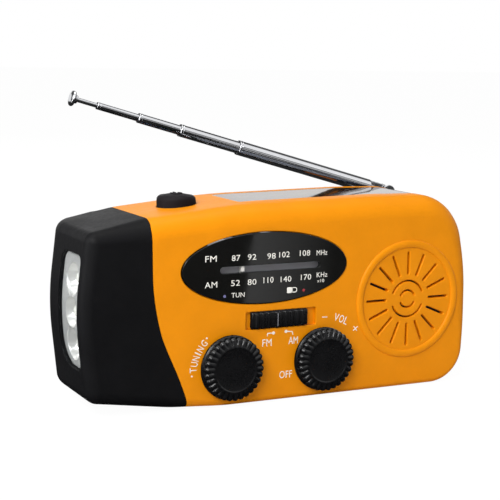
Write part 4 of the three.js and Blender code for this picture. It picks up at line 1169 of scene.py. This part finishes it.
battery_hatch()
for i, (x, z) in enumerate(SCREWS, 1):
    screw(x, z, 8.6, -9, 2.3, 1.1, "case_screw_%d" % i, "shell_screw_%d" % i)
screw(*HATCH_SCREW, 19.15, 12, 2.0, 1.05, "hatch_screw", "battery_door_screw")
port_flap()

# ---------------------------------------------------------------- remaining CAD nodes
# steel unless listed
NODE_LOOKS = {
    "led_board": "board", "lamp_switch": "black", "solar_cell": "cell", "dial_plate": "scale",
    "dial_pointer": "pointer", "tuning_pinion": "white", "main_board": "board",
    "tuning_capacitor": "white", "speaker_cone": "paper", "ferrite_rod": "rod",
    "antenna_coil": "copper", "battery": "cell_wrap", "port_board": "board",
    "antenna_socket": "brass", "crank_gear": "white", "idler_gear": "white",
    "generator_pinion": "brass"}
for name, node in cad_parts.items():
    if node.hide_render:
        continue
    look = LOOKS[NODE_LOOKS.get(name, "steel")]
    if not node.material_slots:
        node.data.materials.append(look)
    for slot in node.material_slots:
        slot.material = look

# the bright shells stay out of mirror reflections, so chrome and gloss black read neutral
for name in ("front_case", "rear_case"):
    bpy.data.objects[name].visible_glossy = False


# ---------------------------------------------------------------- camera (metres)
def add_camera():
    eye = (-0.17962, -0.34922, 0.10026)
    right = (0.89504, -0.44570, 0.01725)
    up = (0.05147, 0.14163, 0.98860)
    back = (-0.44305, -0.88392, 0.1497)
    data = bpy.data.cameras.new("camera")
    data.sensor_width = 36
    data.lens = 95.386
    data.shift_x = 0.00124
    data.shift_y = 0.00206
    data.clip_start = 0.01
    data.clip_end = 50
    camera = link(data, "camera")
    camera.matrix_world = Matrix([*zip(right, up, back, eye), (0, 0, 0, 1)])
    scene.camera = camera


add_camera()
scene.view_settings.view_transform = 'Standard'
scene.view_settings.look = 'None'


# ---------------------------------------------------------------- floor, world, lights (metres)
def add_floor():
    """White floor: mostly glowing to the camera, plain grey to other rays."""
    s, z = 6.0, -0.0002
    floor = raw_mesh([(-s, -s, z), (s, -s, z), (s, s, z), (-s, s, z)], [(0, 1, 2, 3)], "floor")
    mat = bpy.data.materials.new("floor_paper")
    g = Graph(mat)
    glow = g.add('Emission', {'Strength': 1.07, 'Color': (1, 1, 1, 1)})
    grey = g.add('BsdfDiffuse', {'Color': (0.62, 0.62, 0.62, 1)})
    share = g.math('MULTIPLY', g.add('LightPath').outputs['Is Camera Ray'], 0.90)
    g.add('OutputMaterial', {0: g.add('MixShader', {0: share, 1: grey, 2: glow})})
    floor.data.materials.append(mat)
    floor.visible_glossy = False


# (degrees, brightness) of the sky in reflections: 0 is the far horizon, 90 straight up,
# 180 the horizon behind the camera
SKY = [(-180, 0.02), (-8, 0.02), (-2, 0.06), (3, 0.85), (17, 0.92), (25, 0.10), (64, 0.08),
       (73, 1.0), (136, 0.95), (143, 0.06), (158, 0.05), (164, 0.5), (178, 0.45), (180, 0.1)]


def add_world():
    """White to the camera, dim to diffuse rays, banded sky to glossy rays."""
    world = bpy.data.worlds.new("studio")
    scene.world = world
    g = Graph(world)
    direction = g.add('TexCoord').outputs['Generated']
    height = g.add('SeparateXYZ', {0: direction}).outputs['Z']
    ahead = g.add('VectorMath', {0: direction, 1: (0.448, 0.894, 0.0)}, operation='DOT_PRODUCT')
    angle = g.math('ARCTAN2', height, ahead.outputs['Value'])
    ramp = g.add('ValToRGB', {0: g.remap(angle, 0, 1, -pi, pi)})
    elements = ramp.color_ramp.elements
    while len(elements) < len(SKY):
        elements.new(0.5)
    for element, (degree, value) in zip(elements, SKY):
        element.position = (degree + 180) / 360
        element.color = (value, value, value, 1)
    white = (1, 1, 1, 1)
    backdrop = g.add('Background', {0: white, 1: 1.0})
    ambient = g.add('Background', {0: white, 1: 0.37})
    sky = g.add('Background', {0: ramp, 1: 1.0})
    rays = g.add('LightPath').outputs
    lit = g.add('MixShader', {0: rays['Is Glossy Ray'], 1: ambient, 2: sky})
    seen = g.add('MixShader', {0: rays['Is Camera Ray'], 1: lit, 2: backdrop})
    g.add('OutputWorld', {0: seen})


def area(name, at, size, power, aim=(0, 0, 0.03), color=(1, 1, 1)):
    light = bpy.data.lights.new(name, 'AREA')
    light.shape = 'RECTANGLE'
    light.size, light.size_y = size
    light.energy = power
    light.color = color
    lamp = link(light, name)
    lamp.location = at
    lamp.rotation_euler = (Vector(aim) - Vector(at)).to_track_quat('-Z', 'Y').to_euler()


def add_card():
    """Glowing card, seen only by reflections, that gives the dial its sharp-edged sheen.

    Its corners lie on lines from the eye mirrored in the dial, through points on the dial.
    """
    eye = np.array([-179.6, 310.2, 100.3])    # mm
    dial_y, card_y = -19.6, -420.0

    def through(x, z):
        p = np.array([x, dial_y, z])
        return eye + (card_y - eye[1]) / (p[1] - eye[1]) * (p - eye)
    corners = [through(x, z) * 0.001
               for x, z in ((-12.9, 51.5), (21, 51.5), (19, 27.5), (-15.75, 27.5))]
    card = raw_mesh(corners, [(0, 1, 2, 3)], "card")
    mat = bpy.data.materials.new("card_glow")
    g = Graph(mat)
    x = g.add('SeparateXYZ', {0: g.add('TexCoord').outputs['Object']}).outputs['X']
    bright_x = corners[3][0]
    dim_x = bright_x + 0.82 * (corners[1][0] - bright_x)
    glow = g.add('Emission', {'Strength': g.remap(x, 0.95, 0.02, bright_x, dim_x)})
    g.add('OutputMaterial', {0: glow})
    card.data.materials.append(mat)
    card.visible_camera = False
    card.visible_diffuse = False
    card.visible_shadow = False
    card.visible_transmission = False


add_floor()
add_world()
area("key", at=(-0.48, -0.48, 0.46), aim=(-0.01, 0, 0.03), size=(0.34, 0.34), power=3.9)
area("spark", at=(-0.43, -0.17, 0.44), aim=(0, 0, 0.02), size=(0.13, 0.13), power=0.75)
area("top", at=(0.0, 0.05, 0.95), size=(0.7, 0.5), power=2.3, color=(1.0, 0.985, 0.93))
area("fill", at=(0.75, -0.75, 0.25), size=(0.6, 0.6), power=0.12)
area("rear", at=(0.3, 0.9, 0.5), size=(0.6, 0.5), power=0.7)
area("left", at=(-0.9, 0.05, 0.22), aim=(-0.06, 0, 0.03), size=(0.35, 0.5), power=3.0)
add_card()
